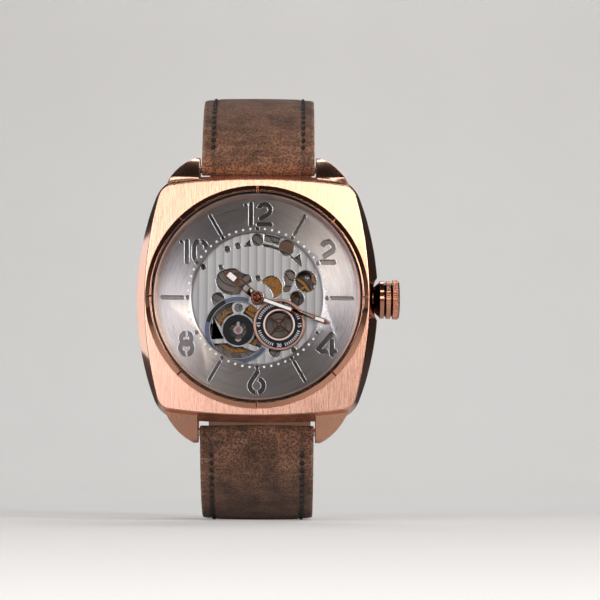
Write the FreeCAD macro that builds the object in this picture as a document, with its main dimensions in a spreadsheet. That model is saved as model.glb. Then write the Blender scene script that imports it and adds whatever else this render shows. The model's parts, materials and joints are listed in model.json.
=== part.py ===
import FreeCAD, Part
import Sketcher
import math
import os
from FreeCAD import Placement, Rotation, Vector

# Skeleton wristwatch: cushion case, open dial with small seconds, visible balance, leather strap.
#
# Every piece is drawn in dial coordinates: x towards 3 o'clock, y towards 12 o'clock and z out of
# the case back towards the wearer's eye, with z = 0 on the outer face of the case back and the
# hand axis at x = y = 0. One placement then stands the watch up: dial z becomes -Y, dial y
# becomes +Z and x stays +X. All lengths are millimetres.

document = FreeCAD.newDocument("SkeletonWristwatch")

# ---------------------------------------------------------------------------------------------
# Driving dimensions
# ---------------------------------------------------------------------------------------------
SIZES = [
    # fits
    ("running_gap", 0.03),
    ("seat_gap", 0.05),
    ("soft_gap", 0.3),
    # case
    ("case_width", 42.4),
    ("case_length", 43.5),
    ("side_bow", 50.0),
    ("end_bow", 220.0),
    ("corner_bow", 5.5),
    ("face_end_inset", 1.2),
    ("face_side_inset", 1.7),
    ("face_side_bow", 68.0),
    ("face_end_bow", 112.0),
    ("face_corner_bow", 2.4),
    ("back_inset", 1.7),
    ("case_foot", 0.8),
    ("waist_level", 5.6),
    ("case_height", 9.5),
    ("lug_width", 5.65),
    ("lug_to_lug", 50.4),
    ("lug_hole", 0.45),
    ("bar_setback", 1.9),
    ("bar_level", 2.6),
    ("bar_radius", 0.75),
    # glazing and bezel
    ("bezel_outer", 19.4),
    ("bezel_inner", 18.1),
    ("bezel_rise", 0.9),
    ("bezel_spigot", 0.9),
    ("notch_width", 0.3),
    ("gasket_wall", 0.2),
    ("crystal_thickness", 1.6),
    ("crystal_proud", 1.0),
    ("rehaut_wall", 0.5),
    # case back
    ("back_ring_outer", 17.6),
    ("back_ring_height", 1.7),
    ("back_gasket", 0.4),
    ("back_window", 14.2),
    ("back_glass_thickness", 1.2),
    ("key_slot_width", 2.2),
    ("key_slot_depth", 0.5),
    # dial stack
    ("dial_radius", 18.0),
    ("dial_opening", 11.5),
    ("dial_thickness", 0.4),
    ("base_thickness", 0.4),
    ("skeleton_thickness", 0.4),
    ("numeral_height", 4.35),
    ("numeral_stroke", 0.78),
    ("numeral_bridge", 0.4),
    ("numeral_ring", 14.7),
    ("numeral_inner", 12.65),
    ("baton_stroke", 0.58),
    ("baton_inner", 13.0),
    ("baton_outer", 16.6),
    ("dot_ring", 12.16),
    ("dot_radius", 0.2),
    ("hour_pip_radius", 0.32),
    # movement
    ("movement_radius", 13.0),
    ("holder_outer", 15.5),
    ("bridge_radius", 10.2),
    ("bridge_level", 2.35),
    ("bridge_thickness", 0.75),
    ("main_plate_level", 5.0),
    ("main_plate_thickness", 0.9),
    ("motion_room", 0.6),
    ("arbor_radius", 0.25),
    ("pivot_radius", 0.12),
    ("jewel_radius", 0.5),
    ("jewel_thickness", 0.25),
    ("centre_module", 0.115),
    ("third_module", 0.115),
    ("fourth_module", 0.09),
    ("barrel_module", 0.16),
    ("wheel_thickness", 0.15),
    ("balance_radius", 3.9),
    ("balance_floor", 0.35),
    ("rotor_radius", 12.6),
    ("rotor_level", 1.55),
    ("rotor_plate", 0.35),
    ("rotor_rim", 1.3),
    # subdials
    ("seconds_outer", 4.53),
    ("seconds_inner", 4.06),
    ("track_inner", 2.8),
    ("seconds_ring_height", 0.65),
    ("track_thickness", 0.35),
    ("indicator_radius", 2.75),
    ("aperture_outer", 5.93),
    ("aperture_inner", 4.98),
    ("cover_disc_outer", 2.7),
    ("cover_disc_inner", 1.48),
    # hands
    ("hand_clearance", 0.35),
    ("hand_thickness", 0.2),
    ("minute_length", 13.05),
    ("minute_width", 0.9),
    ("hour_length", 7.3),
    ("hour_width", 1.55),
    ("hub_radius", 1.15),
    # crown
    ("crown_radius", 3.45),
    ("crown_length", 4.85),
    ("crown_recess", 1.1),
    ("crown_level", 4.6),
    ("crown_pull", 1.0),
    ("tube_outer", 1.3),
    ("tube_bore", 1.1),
    ("stem_radius", 0.6),
    # strap
    ("strap_width", 20.0),
    ("strap_side_gap", 0.25),
    ("leather_thickness", 1.2),
    ("lining_thickness", 1.0),
    ("glue_line", 0.05),
    ("shoulder_bend", 19.4),
    ("side_run", 6.0),
    ("back_bend", 22.0),
    ("buckle_offset", 3.0),
    ("overlap_rise", 2.6),
    ("ramp_bend", 14.0),
    ("tail_bend_angle", 40.0),
    ("punch_radius", 0.9),
    ("punch_pitch", 6.5),
    ("keeper_width", 4.5),
    ("keeper_wall", 1.1),
    ("keeper_gap", 0.15),
    # buckle
    ("frame_reach", 9.5),
    ("frame_bar", 1.8),
    ("frame_wall", 1.8),
    ("tongue_width", 1.6),
    ("tongue_thickness", 0.9),
]

sheet = document.addObject("Spreadsheet::Sheet", "Sizes")
for row, (alias, number) in enumerate(SIZES, start=1):
    sheet.set(f"A{row}", alias)
    sheet.set(f"B{row}", str(number))
    sheet.setAlias(f"B{row}", alias)

# Heights and radii that follow from the driving dimensions, each a formula on the first sheet.
LEVELS = [
    ("face", "=Sizes.case_foot + Sizes.case_height"),
    ("crystal_top", "=Levels.face + Sizes.crystal_proud"),
    ("crystal_foot", "=Levels.crystal_top - Sizes.crystal_thickness"),
    ("bezel_top", "=Levels.face + Sizes.bezel_rise"),
    ("bezel_foot", "=Levels.face - Sizes.bezel_spigot"),
    ("spigot_outer", "=(Sizes.bezel_outer + Sizes.bezel_inner) / 2"),
    ("crystal_radius", "=Sizes.bezel_inner - Sizes.gasket_wall"),
    ("main_front", "=Sizes.main_plate_level + Sizes.main_plate_thickness"),
    ("skeleton_foot", "=Levels.main_front + Sizes.motion_room"),
    ("skeleton_front", "=Levels.skeleton_foot + Sizes.skeleton_thickness"),
    ("base_front", "=Levels.skeleton_front + Sizes.base_thickness"),
    ("dial_front", "=Levels.base_front + Sizes.dial_thickness"),
    ("hour_foot", "=Levels.dial_front + Sizes.hand_clearance"),
    ("hour_front", "=Levels.hour_foot + Sizes.hand_thickness"),
    ("minute_foot", "=Levels.hour_front + Sizes.hand_clearance - 0.1"),
    ("minute_front", "=Levels.minute_foot + Sizes.hand_thickness"),
    ("bridge_front", "=Sizes.bridge_level + Sizes.bridge_thickness"),
    ("bar_reach", "=Sizes.lug_to_lug / 2 - Sizes.bar_setback"),
    ("lug_gap", "=Sizes.strap_width + 2 * Sizes.strap_side_gap"),
    ("plate_radius", "=Sizes.movement_radius - Sizes.seat_gap"),
    ("holder_bore", "=Sizes.movement_radius + Sizes.running_gap"),
    ("case_bore", "=Sizes.holder_outer + Sizes.running_gap"),
]
levels = document.addObject("Spreadsheet::Sheet", "Levels")
for row, (alias, formula) in enumerate(LEVELS, start=1):
    levels.set(f"A{row}", alias)
    levels.setAlias(f"B{row}", alias)
    levels.set(f"B{row}", formula)
document.recompute()

CELLS = {alias: float(sheet.get(alias)) for alias, number in SIZES}
CELLS.update({alias: float(levels.get(alias)) for alias, formula in LEVELS})


def mm(name):
    """The present number in the sheet cell of this name."""
    return CELLS[name]


# ---------------------------------------------------------------------------------------------
# Building blocks
# ---------------------------------------------------------------------------------------------
STAND_UP = Rotation(Vector(1, 0, 0), 90)
ALONG_STEM = Rotation(Vector(0, 1, 0), 90)
subparts = []


def keep(label, shape):
    """Store a finished shape, drawn in dial coordinates, as a sub-part standing upright."""
    feature = document.addObject("Part::Feature", label)
    feature.Label = label
    feature.Shape = shape
    feature.Placement = Placement(Vector(), STAND_UP).multiply(shape.Placement)
    subparts.append(feature)
    return feature


def origin_plane(body, role):
    """The origin plane of a body that has this role."""
    return next(plane for plane in body.Origin.OriginFeatures if plane.Role == role)


def bind(sketch, index, name, expression):
    """Tie one dimension of a sketch to the sheets."""
    sketch.renameConstraint(index, name)
    sketch.setExpression(f"Constraints.{name}", expression)


def turned(label, corners, place=None):
    """A body turned about its own z axis; each corner is a (radius, height) pair of expressions."""
    body = document.addObject("PartDesign::Body", label)
    body.Label = label
    sketch = body.newObject("Sketcher::SketchObject", f"{label}_profile")
    sketch.AttachmentSupport = (origin_plane(body, "XZ_Plane"), "")
    sketch.MapMode = "FlatFace"
    count = len(corners)
    rough = [Vector(20 + 10 * math.cos(math.tau * i / count), 10 * math.sin(math.tau * i / count), 0)
             for i in range(count)]
    for index in range(count):
        sketch.addGeometry(Part.LineSegment(rough[index], rough[(index + 1) % count]))
    for index in range(count):
        sketch.addConstraint(Sketcher.Constraint("Coincident", index, 2, (index + 1) % count, 1))
    for index, (radius, height) in enumerate(corners):
        across = sketch.addConstraint(
            Sketcher.Constraint("DistanceX", -1, 1, index, 1, rough[index].x))
        bind(sketch, across, f"radius{index}", radius)
        upward = sketch.addConstraint(
            Sketcher.Constraint("DistanceY", -1, 1, index, 1, rough[index].y))
        bind(sketch, upward, f"height{index}", height)
    revolution = body.newObject("PartDesign::Revolution", f"{label}_turn")
    revolution.Profile = sketch
    revolution.ReferenceAxis = (sketch, ["V_Axis"])
    revolution.Angle = 360
    sketch.Visibility = False
    body.Placement = place or Placement(Vector(), STAND_UP)
    subparts.append(body)
    return body


def flat_ring(label, inner, outer, foot, front):
    """A plain washer between two radii and two heights, each an expression."""
    return turned(label, [(inner, foot), (outer, foot), (outer, front), (inner, front)])


def rod(radius, foot, front, x=0.0, y=0.0):
    """A round bar along z."""
    return Part.makeCylinder(radius, front - foot, Vector(x, y, foot))


def washer(inner, outer, foot, front, x=0.0, y=0.0):
    """A ring along z."""
    return rod(outer, foot, front, x, y).cut(rod(inner, foot, front, x, y))


def block(x_low, x_high, y_low, y_high, z_low, z_high):
    """A box between its low and high corners."""
    return Part.makeBox(x_high - x_low, y_high - y_low, z_high - z_low, Vector(x_low, y_low, z_low))


def prism(points, foot, front):
    """A polygon of (x, y) corners raised from one height to another."""
    ring = [Vector(x, y, foot) for x, y in points]
    return Part.Face(Part.makePolygon(ring + ring[:1])).extrude(Vector(0, 0, front - foot))


def polar(radius, degrees, x=0.0, y=0.0):
    """A point at a radius and an angle from x, about a centre."""
    angle = math.radians(degrees)
    return x + radius * math.cos(angle), y + radius * math.sin(angle)


def clock(radius, degrees):
    """A point at a radius and an angle counted clockwise from 12 o'clock."""
    return polar(radius, 90 - degrees)


def capsule(start, end, width, foot, front):
    """A straight stroke with round ends."""
    length = math.dist(start, end)
    angle = math.degrees(math.atan2(end[1] - start[1], end[0] - start[0]))
    stroke = block(0, length, -width / 2, width / 2, foot, front)
    stroke.rotate(Vector(), Vector(0, 0, 1), angle)
    stroke.translate(Vector(start[0], start[1], 0))
    ends = [rod(width / 2, foot, front, *point) for point in (start, end)]
    return stroke.multiFuse(ends)


def sector(inner, outer, start, end, foot, front, x=0.0, y=0.0):
    """Part of a ring between two angles counted from x."""
    face = Part.Face(Part.Wire([
        arc_edge(outer, start, end, foot, x, y),
        Part.makeLine(Vector(*polar(outer, end, x, y), foot), Vector(*polar(inner, end, x, y), foot)),
        arc_edge(inner, end, start, foot, x, y),
        Part.makeLine(Vector(*polar(inner, start, x, y), foot), Vector(*polar(outer, start, x, y), foot)),
    ]))
    return face.extrude(Vector(0, 0, front - foot))


def arc_edge(radius, start, end, level, x=0.0, y=0.0):
    """A circular edge through three points between two angles."""
    points = [Vector(*polar(radius, angle, x, y), level) for angle in (start, (start + end) / 2, end)]
    return Part.Arc(*points).toShape()


def meeting_point(first, first_radius, second, second_radius, side):
    """Where two circles about (x, y) centres cross, on the left (+1) or right (-1) of first to second."""
    gap = math.dist(first, second)
    along = (first_radius ** 2 - second_radius ** 2 + gap ** 2) / (2 * gap)
    across = side * math.sqrt(first_radius ** 2 - along ** 2)
    ux = (second[0] - first[0]) / gap
    uy = (second[1] - first[1]) / gap
    return first[0] + along * ux - across * uy, first[1] + along * uy + across * ux


def joined(shapes):
    """One solid from overlapping shapes."""
    return shapes[0].multiFuse(shapes[1:]).removeSplitter()


# ---------------------------------------------------------------------------------------------
# Case
# ---------------------------------------------------------------------------------------------
CROWN_START = mm("case_width") / 2 - mm("crown_recess")


def cushion(side_inset, end_inset, level, bows="side_bow end_bow corner_bow"):
    """The cushion outline of the case, drawn in at its sides and ends: four bowed sides and four corners."""
    half_width = mm("case_width") / 2 - side_inset
    half_length = mm("case_length") / 2 - end_inset
    side, end, corner = (mm(name) for name in bows.split())
    side_centre = (half_width - side, 0.0)
    end_centre = (0.0, half_length - end)
    bend = meeting_point(side_centre, side - corner, end_centre, end - corner, 1)
    if bend[0] < 0:
        bend = meeting_point(side_centre, side - corner, end_centre, end - corner, -1)

    def touch(centre, radius):
        reach = math.dist(centre, bend)
        return (centre[0] + (bend[0] - centre[0]) * radius / reach,
                centre[1] + (bend[1] - centre[1]) * radius / reach)

    on_side = touch(side_centre, side)
    on_end = touch(end_centre, end)
    diagonal = math.atan2((on_side[1] + on_end[1]) / 2 - bend[1], (on_side[0] + on_end[0]) / 2 - bend[0])
    on_corner = (bend[0] + corner * math.cos(diagonal), bend[1] + corner * math.sin(diagonal))
    quarters = [(1, 1), (-1, 1), (-1, -1), (1, -1)]

    def flip(point, signs):
        return Vector(point[0] * signs[0], point[1] * signs[1], level)

    edges = []
    for index, signs in enumerate(quarters):
        following = quarters[(index + 1) % 4]
        first, last = (on_side, on_end) if index % 2 == 0 else (on_end, on_side)
        crown_point = (0.0, half_length) if index % 2 == 0 else (half_width, 0.0)
        edges.append(Part.Arc(flip(first, signs), flip(on_corner, signs), flip(last, signs)).toShape())
        between = flip(crown_point, signs)
        edges.append(Part.Arc(flip(last, signs), between, flip(last, following)).toShape())
    return Part.Wire(Part.__sortEdges__(edges))


def side_plan(points, x_low, x_high):
    """A solid whose side view is a polygon of (y, z) corners, between two x values."""
    ring = [Vector(x_low, y, z) for y, z in points]
    return Part.Face(Part.makePolygon(ring + ring[:1])).extrude(Vector(x_high - x_low, 0, 0))


def lug(across, along):
    """One lug: a wedge that tapers to its tip in front view and droops to the wrist in side view."""
    inner = mm("lug_gap") / 2
    outer = inner + mm("lug_width")
    tip = mm("lug_to_lug") / 2
    root = mm("case_length") / 2 - 0.4
    plan_edges = [
        Part.makeLine(Vector(inner, root - 4, -2), Vector(outer, root - 4, -2)),
        Part.makeLine(Vector(outer, root - 4, -2), Vector(outer, root - 1.5, -2)),
        Part.Arc(Vector(outer, root - 1.5, -2), Vector(outer - 2.6, tip - 1.5, -2),
                 Vector(inner + 0.9, tip, -2)).toShape(),
        Part.makeLine(Vector(inner + 0.9, tip, -2), Vector(inner, tip, -2)),
        Part.makeLine(Vector(inner, tip, -2), Vector(inner, root - 4, -2)),
    ]
    plan = Part.Face(Part.Wire(plan_edges)).extrude(Vector(0, 0, mm("face") + 4))
    bar_y, bar_z = mm("bar_reach"), mm("bar_level")
    profile = side_plan([(root - 4, mm("face") - 0.9), (root - 0.1, mm("face") - 1.9),
                         (bar_y + 1.0, bar_z + 2.6), (tip, bar_z + 1.0), (tip, bar_z - 1.0),
                         (tip - 0.8, bar_z - 2.2), (bar_y - 2.2, mm("case_foot") - 0.5),
                         (root - 4, mm("case_foot") + 0.6)], inner, outer)
    wedge = plan.common(profile)
    wedge = wedge.cut(Part.makeCylinder(mm("lug_hole"), 1.2, Vector(inner, bar_y, bar_z), Vector(1, 0, 0)))
    if across < 0:
        wedge = wedge.mirror(Vector(), Vector(1, 0, 0))
    if along < 0:
        wedge = wedge.mirror(Vector(), Vector(0, 1, 0))
    return wedge


def case_middle():
    """The case: two lofted tiers of the cushion outline, four lugs, and the stepped bore."""
    waist = mm("waist_level")
    foot = cushion(mm("back_inset"), mm("back_inset"), mm("case_foot"))
    widest = cushion(0, 0, waist)
    face = cushion(mm("face_side_inset"), mm("face_end_inset"), mm("face"),
                   "face_side_bow face_end_bow face_corner_bow")
    lower = Part.makeLoft([foot, widest], True, True)
    upper = Part.makeLoft([widest, face], True, True)
    body = joined([lower, upper] + [lug(across, along) for across in (1, -1) for along in (1, -1)])
    back_bore = mm("back_ring_outer") + mm("seat_gap")
    body = body.cut(rod(back_bore, -1, mm("back_ring_height") + mm("back_gasket")))
    body = body.cut(rod(mm("case_bore"), 0, mm("skeleton_front")))
    body = body.cut(rod(mm("dial_radius") + mm("seat_gap"), mm("skeleton_front"), mm("face") + 1))
    body = body.cut(rod(mm("spigot_outer") + mm("seat_gap"), mm("bezel_foot"), mm("face") + 1))
    tube = Part.makeCylinder(mm("tube_outer"), mm("case_width"), Vector(0, 0, mm("crown_level")),
                             Vector(1, 0, 0))
    seat = Part.makeCylinder(mm("crown_radius") + mm("soft_gap"), mm("case_width"),
                             Vector(CROWN_START - mm("seat_gap"), 0, mm("crown_level")), Vector(1, 0, 0))
    return body.cut([tube, seat])


keep("case_middle", case_middle())

bezel = turned("bezel", [
    ("Sizes.bezel_inner", "Levels.bezel_foot"),
    ("Levels.spigot_outer", "Levels.bezel_foot"),
    ("Levels.spigot_outer", "Levels.face"),
    ("Sizes.bezel_outer", "Levels.face"),
    ("Sizes.bezel_outer", "Levels.bezel_top - 0.55"),
    ("Sizes.bezel_inner + 0.45", "Levels.bezel_top"),
    ("Sizes.bezel_inner + 0.25", "Levels.bezel_top"),
    ("Sizes.bezel_inner", "Levels.bezel_top - 0.25"),
])


def radial_slots(body, label, width, inner, level, depth, count, first=0.0):
    """Radial slots sunk into the front of a turned body, repeated round its axis."""
    document.recompute()
    sketch = body.newObject("Sketcher::SketchObject", f"{label}_plan")
    sketch.AttachmentSupport = (origin_plane(body, "XY_Plane"), "")
    sketch.MapMode = "FlatFace"
    sketch.setExpression("AttachmentOffset.Base.z", level)
    corners = [Vector(-1, 10), Vector(1, 10), Vector(1, 30), Vector(-1, 30)]
    for index in range(4):
        sketch.addGeometry(Part.LineSegment(corners[index], corners[(index + 1) % 4]))
    for index in range(4):
        sketch.addConstraint(Sketcher.Constraint("Coincident", index, 2, (index + 1) % 4, 1))
    for index in (0, 2):
        sketch.addConstraint(Sketcher.Constraint("Horizontal", index))
    for index in (1, 3):
        sketch.addConstraint(Sketcher.Constraint("Vertical", index))
    left = sketch.addConstraint(Sketcher.Constraint("DistanceX", 0, 1, -1, 1, 1))
    bind(sketch, left, "half_width", f"{width} / 2")
    across = sketch.addConstraint(Sketcher.Constraint("DistanceX", 0, 1, 0, 2, 2))
    bind(sketch, across, "full_width", width)
    near = sketch.addConstraint(Sketcher.Constraint("DistanceY", -1, 1, 0, 1, 10))
    bind(sketch, near, "inner_reach", inner)
    far = sketch.addConstraint(Sketcher.Constraint("DistanceY", 1, 1, 1, 2, 20))
    bind(sketch, far, "slot_length", "Sizes.case_width / 4")
    pocket = body.newObject("PartDesign::Pocket", f"{label}_cut")
    pocket.Profile = sketch
    pocket.setExpression("Length", depth)
    pocket.Reversed = first > 0
    sketch.Visibility = False
    pattern = body.newObject("PartDesign::PolarPattern", f"{label}_round")
    pattern.Originals = [pocket]
    pattern.Axis = (origin_plane(body, "Z_Axis"), [""])
    pattern.Angle = 360
    pattern.Occurrences = count
    body.Tip = pattern


BEZEL_NOTCHES = 8
KEY_SLOTS = 6
radial_slots(bezel, "bezel_notch", "Sizes.notch_width", "Sizes.bezel_inner - 1", "Levels.bezel_top",
             "Sizes.bezel_rise * 0.7", BEZEL_NOTCHES)

flat_ring("crystal_gasket", "Levels.crystal_radius", "Sizes.bezel_inner", "Levels.crystal_foot",
          "Levels.crystal_top - 0.5")
turned("crystal", [
    ("0", "Levels.crystal_foot"),
    ("Levels.crystal_radius", "Levels.crystal_foot"),
    ("Levels.crystal_radius", "Levels.crystal_top - 0.25"),
    ("Levels.crystal_radius - 0.25", "Levels.crystal_top"),
    ("0", "Levels.crystal_top"),
])
turned("rehaut_ring", [
    ("Sizes.dial_radius - Sizes.rehaut_wall", "Levels.dial_front"),
    ("Sizes.dial_radius", "Levels.dial_front"),
    ("Sizes.dial_radius", "Levels.crystal_foot"),
    ("Sizes.dial_radius - Sizes.rehaut_wall / 3", "Levels.crystal_foot"),
])
flat_ring("case_back_glass", "0", "Sizes.back_window", "0", "Sizes.back_glass_thickness")
case_back = turned("case_back_ring", [
    ("Sizes.back_window", "0"),
    ("Sizes.back_ring_outer - 0.6", "0"),
    ("Sizes.back_ring_outer", "0.4"),
    ("Sizes.back_ring_outer", "Sizes.back_ring_height"),
    ("Sizes.back_window + 1.6", "Sizes.back_ring_height"),
    ("Sizes.back_window + 1.6", "Sizes.back_glass_thickness"),
    ("Sizes.back_window", "Sizes.back_glass_thickness"),
])
radial_slots(case_back, "key_slot", "Sizes.key_slot_width", "Sizes.back_ring_outer - 1.2", "0",
             "Sizes.key_slot_depth", KEY_SLOTS, first=1.0)
flat_ring("case_back_gasket", "Sizes.holder_outer + 0.3", "Sizes.back_ring_outer - 0.2",
          "Sizes.back_ring_height", "Sizes.back_ring_height + Sizes.back_gasket")

# ---------------------------------------------------------------------------------------------
# Dial
# ---------------------------------------------------------------------------------------------
HOUR_DOTS = 60
BATON_HOURS = (1, 3, 5, 7, 9, 11)
DEGREES_PER_HOUR = 30
DEGREES_PER_MINUTE = 6
DIAL_FOOT = mm("base_front")
DIAL_FRONT = mm("dial_front")


def stroke(points, x, y):
    """Straight strokes of a numeral, each a capsule between points given about the digit's centre."""
    width = mm("numeral_stroke")
    return [capsule((x + x1, y + y1), (x + x2, y + y2), width, DIAL_FOOT - 1, DIAL_FRONT + 1)
            for (x1, y1), (x2, y2) in points]


def bow(radius, start, end, x, y):
    """A curved stroke of a numeral."""
    half = mm("numeral_stroke") / 2
    return sector(radius - half, radius + half, start, end, DIAL_FOOT - 1, DIAL_FRONT + 1, x, y)


def loop(radius, x, y):
    """A closed round stroke of a numeral."""
    half = mm("numeral_stroke") / 2
    return washer(radius - half, radius + half, DIAL_FOOT - 1, DIAL_FRONT + 1, x, y)


def bridge(x, y_low, y_high):
    """The narrow upright bridge of metal that carries the middle of a closed figure."""
    half = mm("numeral_bridge") / 2
    return block(x - half, x + half, y_low, y_high, DIAL_FOOT - 2, DIAL_FRONT + 2)


def digit(figure, x, y):
    """The strokes of one stencil digit about its centre; closed loops keep a bridge of metal."""
    half = (mm("numeral_height") - mm("numeral_stroke")) / 2
    if figure == "1":
        pip = rod(0.3, DIAL_FOOT - 1, DIAL_FRONT + 1, x - 0.95, y + half - 0.1)
        return stroke([((0, -half), (0, half))], x, y) + [pip]
    if figure == "2":
        top = half - 1.0
        return [bow(1.0, -40, 165, x, y + top)] + stroke(
            [((0.77, top - 0.64), (-0.6, 1.05 - half)), ((-1.05, -half), (1.05, -half))], x, y)
    if figure == "4":
        return stroke([((0.95, half), (-1.4, -0.85)), ((-0.95, -1.2), (-0.05, -1.2)),
                       ((0.97, 0.6), (0.97, -half)), ((0.97, -1.2), (1.5, -1.2))], x, y)
    if figure == "6":
        low = 1.2 - half
        return [bow(1.2, 150, 258, x, y + low), bow(1.2, -78, 74, x, y + low)] + stroke(
            [((0.1, half), (-1.05, low + 0.6))], x, y)
    if figure == "8":
        top, low = y + half - 0.9, y + 1.03 - half
        return [loop(0.9, x, top).cut(bridge(x, top, top + 2)),
                loop(1.03, x, low).cut(bridge(x, low - 2, low))]
    reach = half - 1.03
    ends = [bow(1.03, 0, 180, x, y + reach).cut(bridge(x, y + reach, y + reach + 2)),
            bow(1.03, 180, 360, x, y - reach).cut(bridge(x, y - reach - 2, y - reach))]
    return ends + stroke([((side * 1.03, -reach), (side * 1.03, reach)) for side in (-1, 1)], x, y)


# Each figure with its hour and its shift from that hour's place on the ring.
NUMERALS = [("1", 12, -1.18, 0.0), ("2", 12, 1.2, 0.0), ("2", 2, -0.43, 0.75), ("4", 4, -0.63, -0.75),
            ("6", 6, 0.0, -0.1), ("8", 8, 0.43, -0.75), ("1", 10, 0.38, 0.75), ("0", 10, 2.68, 0.75)]


def dial_cutters():
    """Stencil numerals at the even hours and round-ended batons at the odd ones."""
    clear = rod(mm("numeral_inner"), DIAL_FOOT - 2, DIAL_FRONT + 2)
    cutters = []
    for figure, hour, right, up in NUMERALS:
        x, y = clock(mm("numeral_ring"), hour * DEGREES_PER_HOUR)
        cutters += [line.cut(clear) for line in digit(figure, x + right, y + up)]
    for hour in BATON_HOURS:
        cutters.append(capsule(clock(mm("baton_inner"), hour * DEGREES_PER_HOUR),
                               clock(mm("baton_outer"), hour * DEGREES_PER_HOUR),
                               mm("baton_stroke"), DIAL_FOOT - 1, DIAL_FRONT + 1))
    for hour in range(1, 13):
        x, y = clock(mm("dot_ring"), hour * DEGREES_PER_HOUR)
        cutters.append(rod(mm("hour_pip_radius"), DIAL_FOOT - 1, DIAL_FRONT + 1, x, y))
    return cutters


def dial_ring():
    """The brushed hour ring, with a bevel round its inner opening."""
    ring = washer(mm("dial_opening"), mm("dial_radius"), DIAL_FOOT, DIAL_FRONT)
    bevel = Part.makeCone(mm("dial_opening"), mm("dial_opening") + 0.3, 0.15,
                          Vector(0, 0, DIAL_FRONT - 0.15))
    return ring.cut(bevel).cut(dial_cutters())


keep("dial_ring", dial_ring())
flat_ring("dial_base_ring", "Sizes.dial_opening + 0.1", "Sizes.dial_radius", "Levels.skeleton_front",
          "Levels.base_front")


def minute_dots():
    """Printed dots between the hour pips."""
    dots = []
    for minute in range(HOUR_DOTS):
        if minute % 5:
            x, y = clock(mm("dot_ring"), minute * DEGREES_PER_MINUTE)
            dots.append(rod(mm("dot_radius"), DIAL_FRONT, DIAL_FRONT + 0.05, x, y))
    return Part.makeCompound(dots)


keep("minute_dots", minute_dots())

# ---------------------------------------------------------------------------------------------
# Places of the arbors
# ---------------------------------------------------------------------------------------------
CENTRE = (0.0, 0.0)
SECONDS = (3.84, -4.66)
BALANCE = (-3.3, -5.6)
TEETH = {"barrel": 72, "centre_pinion": 12, "centre": 80, "third_pinion": 10, "third": 75,
         "fourth_pinion": 10, "fourth": 84, "escape_pinion": 7, "escape": 15,
         "cannon": 12, "minute": 36, "minute_pinion": 10, "hour": 40}
ESCAPE_TO_BALANCE = 4.4
ESCAPE_TO_PALLET = 2.15
MINUTE_WHEEL_ANGLE = 38.66
MOTION_DISTANCE = 3.2
BARREL_ANGLE = 125.0


def mesh_distance(module, wheel, pinion):
    """Centre distance of a wheel and a pinion."""
    return module * (TEETH[wheel] + TEETH[pinion]) / 2


BARREL = polar(mesh_distance(mm("barrel_module"), "barrel", "centre_pinion"), BARREL_ANGLE)
THIRD = meeting_point(CENTRE, mesh_distance(mm("centre_module"), "centre", "third_pinion"),
                      SECONDS, mesh_distance(mm("third_module"), "third", "fourth_pinion"), 1)
ESCAPE = meeting_point(SECONDS, mesh_distance(mm("fourth_module"), "fourth", "escape_pinion"),
                       BALANCE, ESCAPE_TO_BALANCE, 1)
LEVER_SHARE = ESCAPE_TO_PALLET / ESCAPE_TO_BALANCE
PALLET = (ESCAPE[0] + (BALANCE[0] - ESCAPE[0]) * LEVER_SHARE,
          ESCAPE[1] + (BALANCE[1] - ESCAPE[1]) * LEVER_SHARE)
MINUTE_WHEEL = polar(MOTION_DISTANCE, MINUTE_WHEEL_ANGLE)
JEWELLED = (THIRD, SECONDS, ESCAPE, PALLET)

# ---------------------------------------------------------------------------------------------
# Dial-side plates
# ---------------------------------------------------------------------------------------------
ROUND_WINDOWS = [(0.0, 10.3, 1.05), (-5.3, 8.6, 0.52), (-3.45, 9.2, 0.49), (-9.5, 5.5, 0.48),
                 (-6.42, 5.4, 0.42), (0.13, 3.5, 0.47), (5.05, 8.9, 1.35), (6.95, 0.0, 1.25),
                 (8.5, 3.0, 1.9), (-6.85, -0.2, 1.15), (3.13, -9.2, 1.1), (6.4, -9.05, 0.45)]
SEE_THROUGH = slice(6, 9)
UPPER_WINDOW = [(-7.25, 3.3), (-6.5, 4.6), (-5.0, 5.1), (-3.6, 5.05), (-2.5, 4.3), (-1.3, 3.9),
                (-1.0, 3.1), (-2.3, 2.2), (-2.9, 1.0), (-4.3, 0.6), (-5.9, 1.0), (-7.0, 2.1)]
SIDE_WINDOW = [(4.75, 4.3), (5.6, 5.0), (6.6, 4.5), (6.5, 3.3), (6.0, 2.1), (5.2, 1.2), (4.5, 1.3),
               (4.85, 2.4), (4.6, 3.3)]
ARROW_WINDOWS = [[(-2.6, 9.0), (-1.4, 10.2), (-1.15, 9.15)], [(6.2, 6.8), (7.5, 7.9), (7.7, 5.6)]]
CRESCENTS = [(10.1, 11.3, 69, 84), (9.2, 9.55, 64, 84), (9.25, 9.5, 41, 52)]
CENTRE_DISC = 2.8
MINUTE_WHEEL_WINDOW = 1.9


def rounded_window(points, foot, front):
    """A cutter whose outline is one smooth closed curve through the points."""
    curve = Part.BSplineCurve()
    curve.interpolate([Vector(x, y, foot) for x, y in points], True)
    return Part.Face(Part.Wire(curve.toShape())).extrude(Vector(0, 0, front - foot))


def plate_windows(foot, front):
    """The openings of the skeleton plate as cutters."""
    cutters = [rod(radius, foot, front, x, y) for x, y, radius in ROUND_WINDOWS]
    cutters += [rounded_window(points, foot, front) for points in (UPPER_WINDOW, SIDE_WINDOW)]
    cutters += [prism(points, foot, front) for points in ARROW_WINDOWS]
    cutters += [sector(inner, outer, start, end, foot, front) for inner, outer, start, end in CRESCENTS]
    cutters.append(rod(MINUTE_WHEEL_WINDOW, foot, front, *MINUTE_WHEEL)
                   .cut(rod(CENTRE_DISC, foot, front)))
    return cutters


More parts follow.
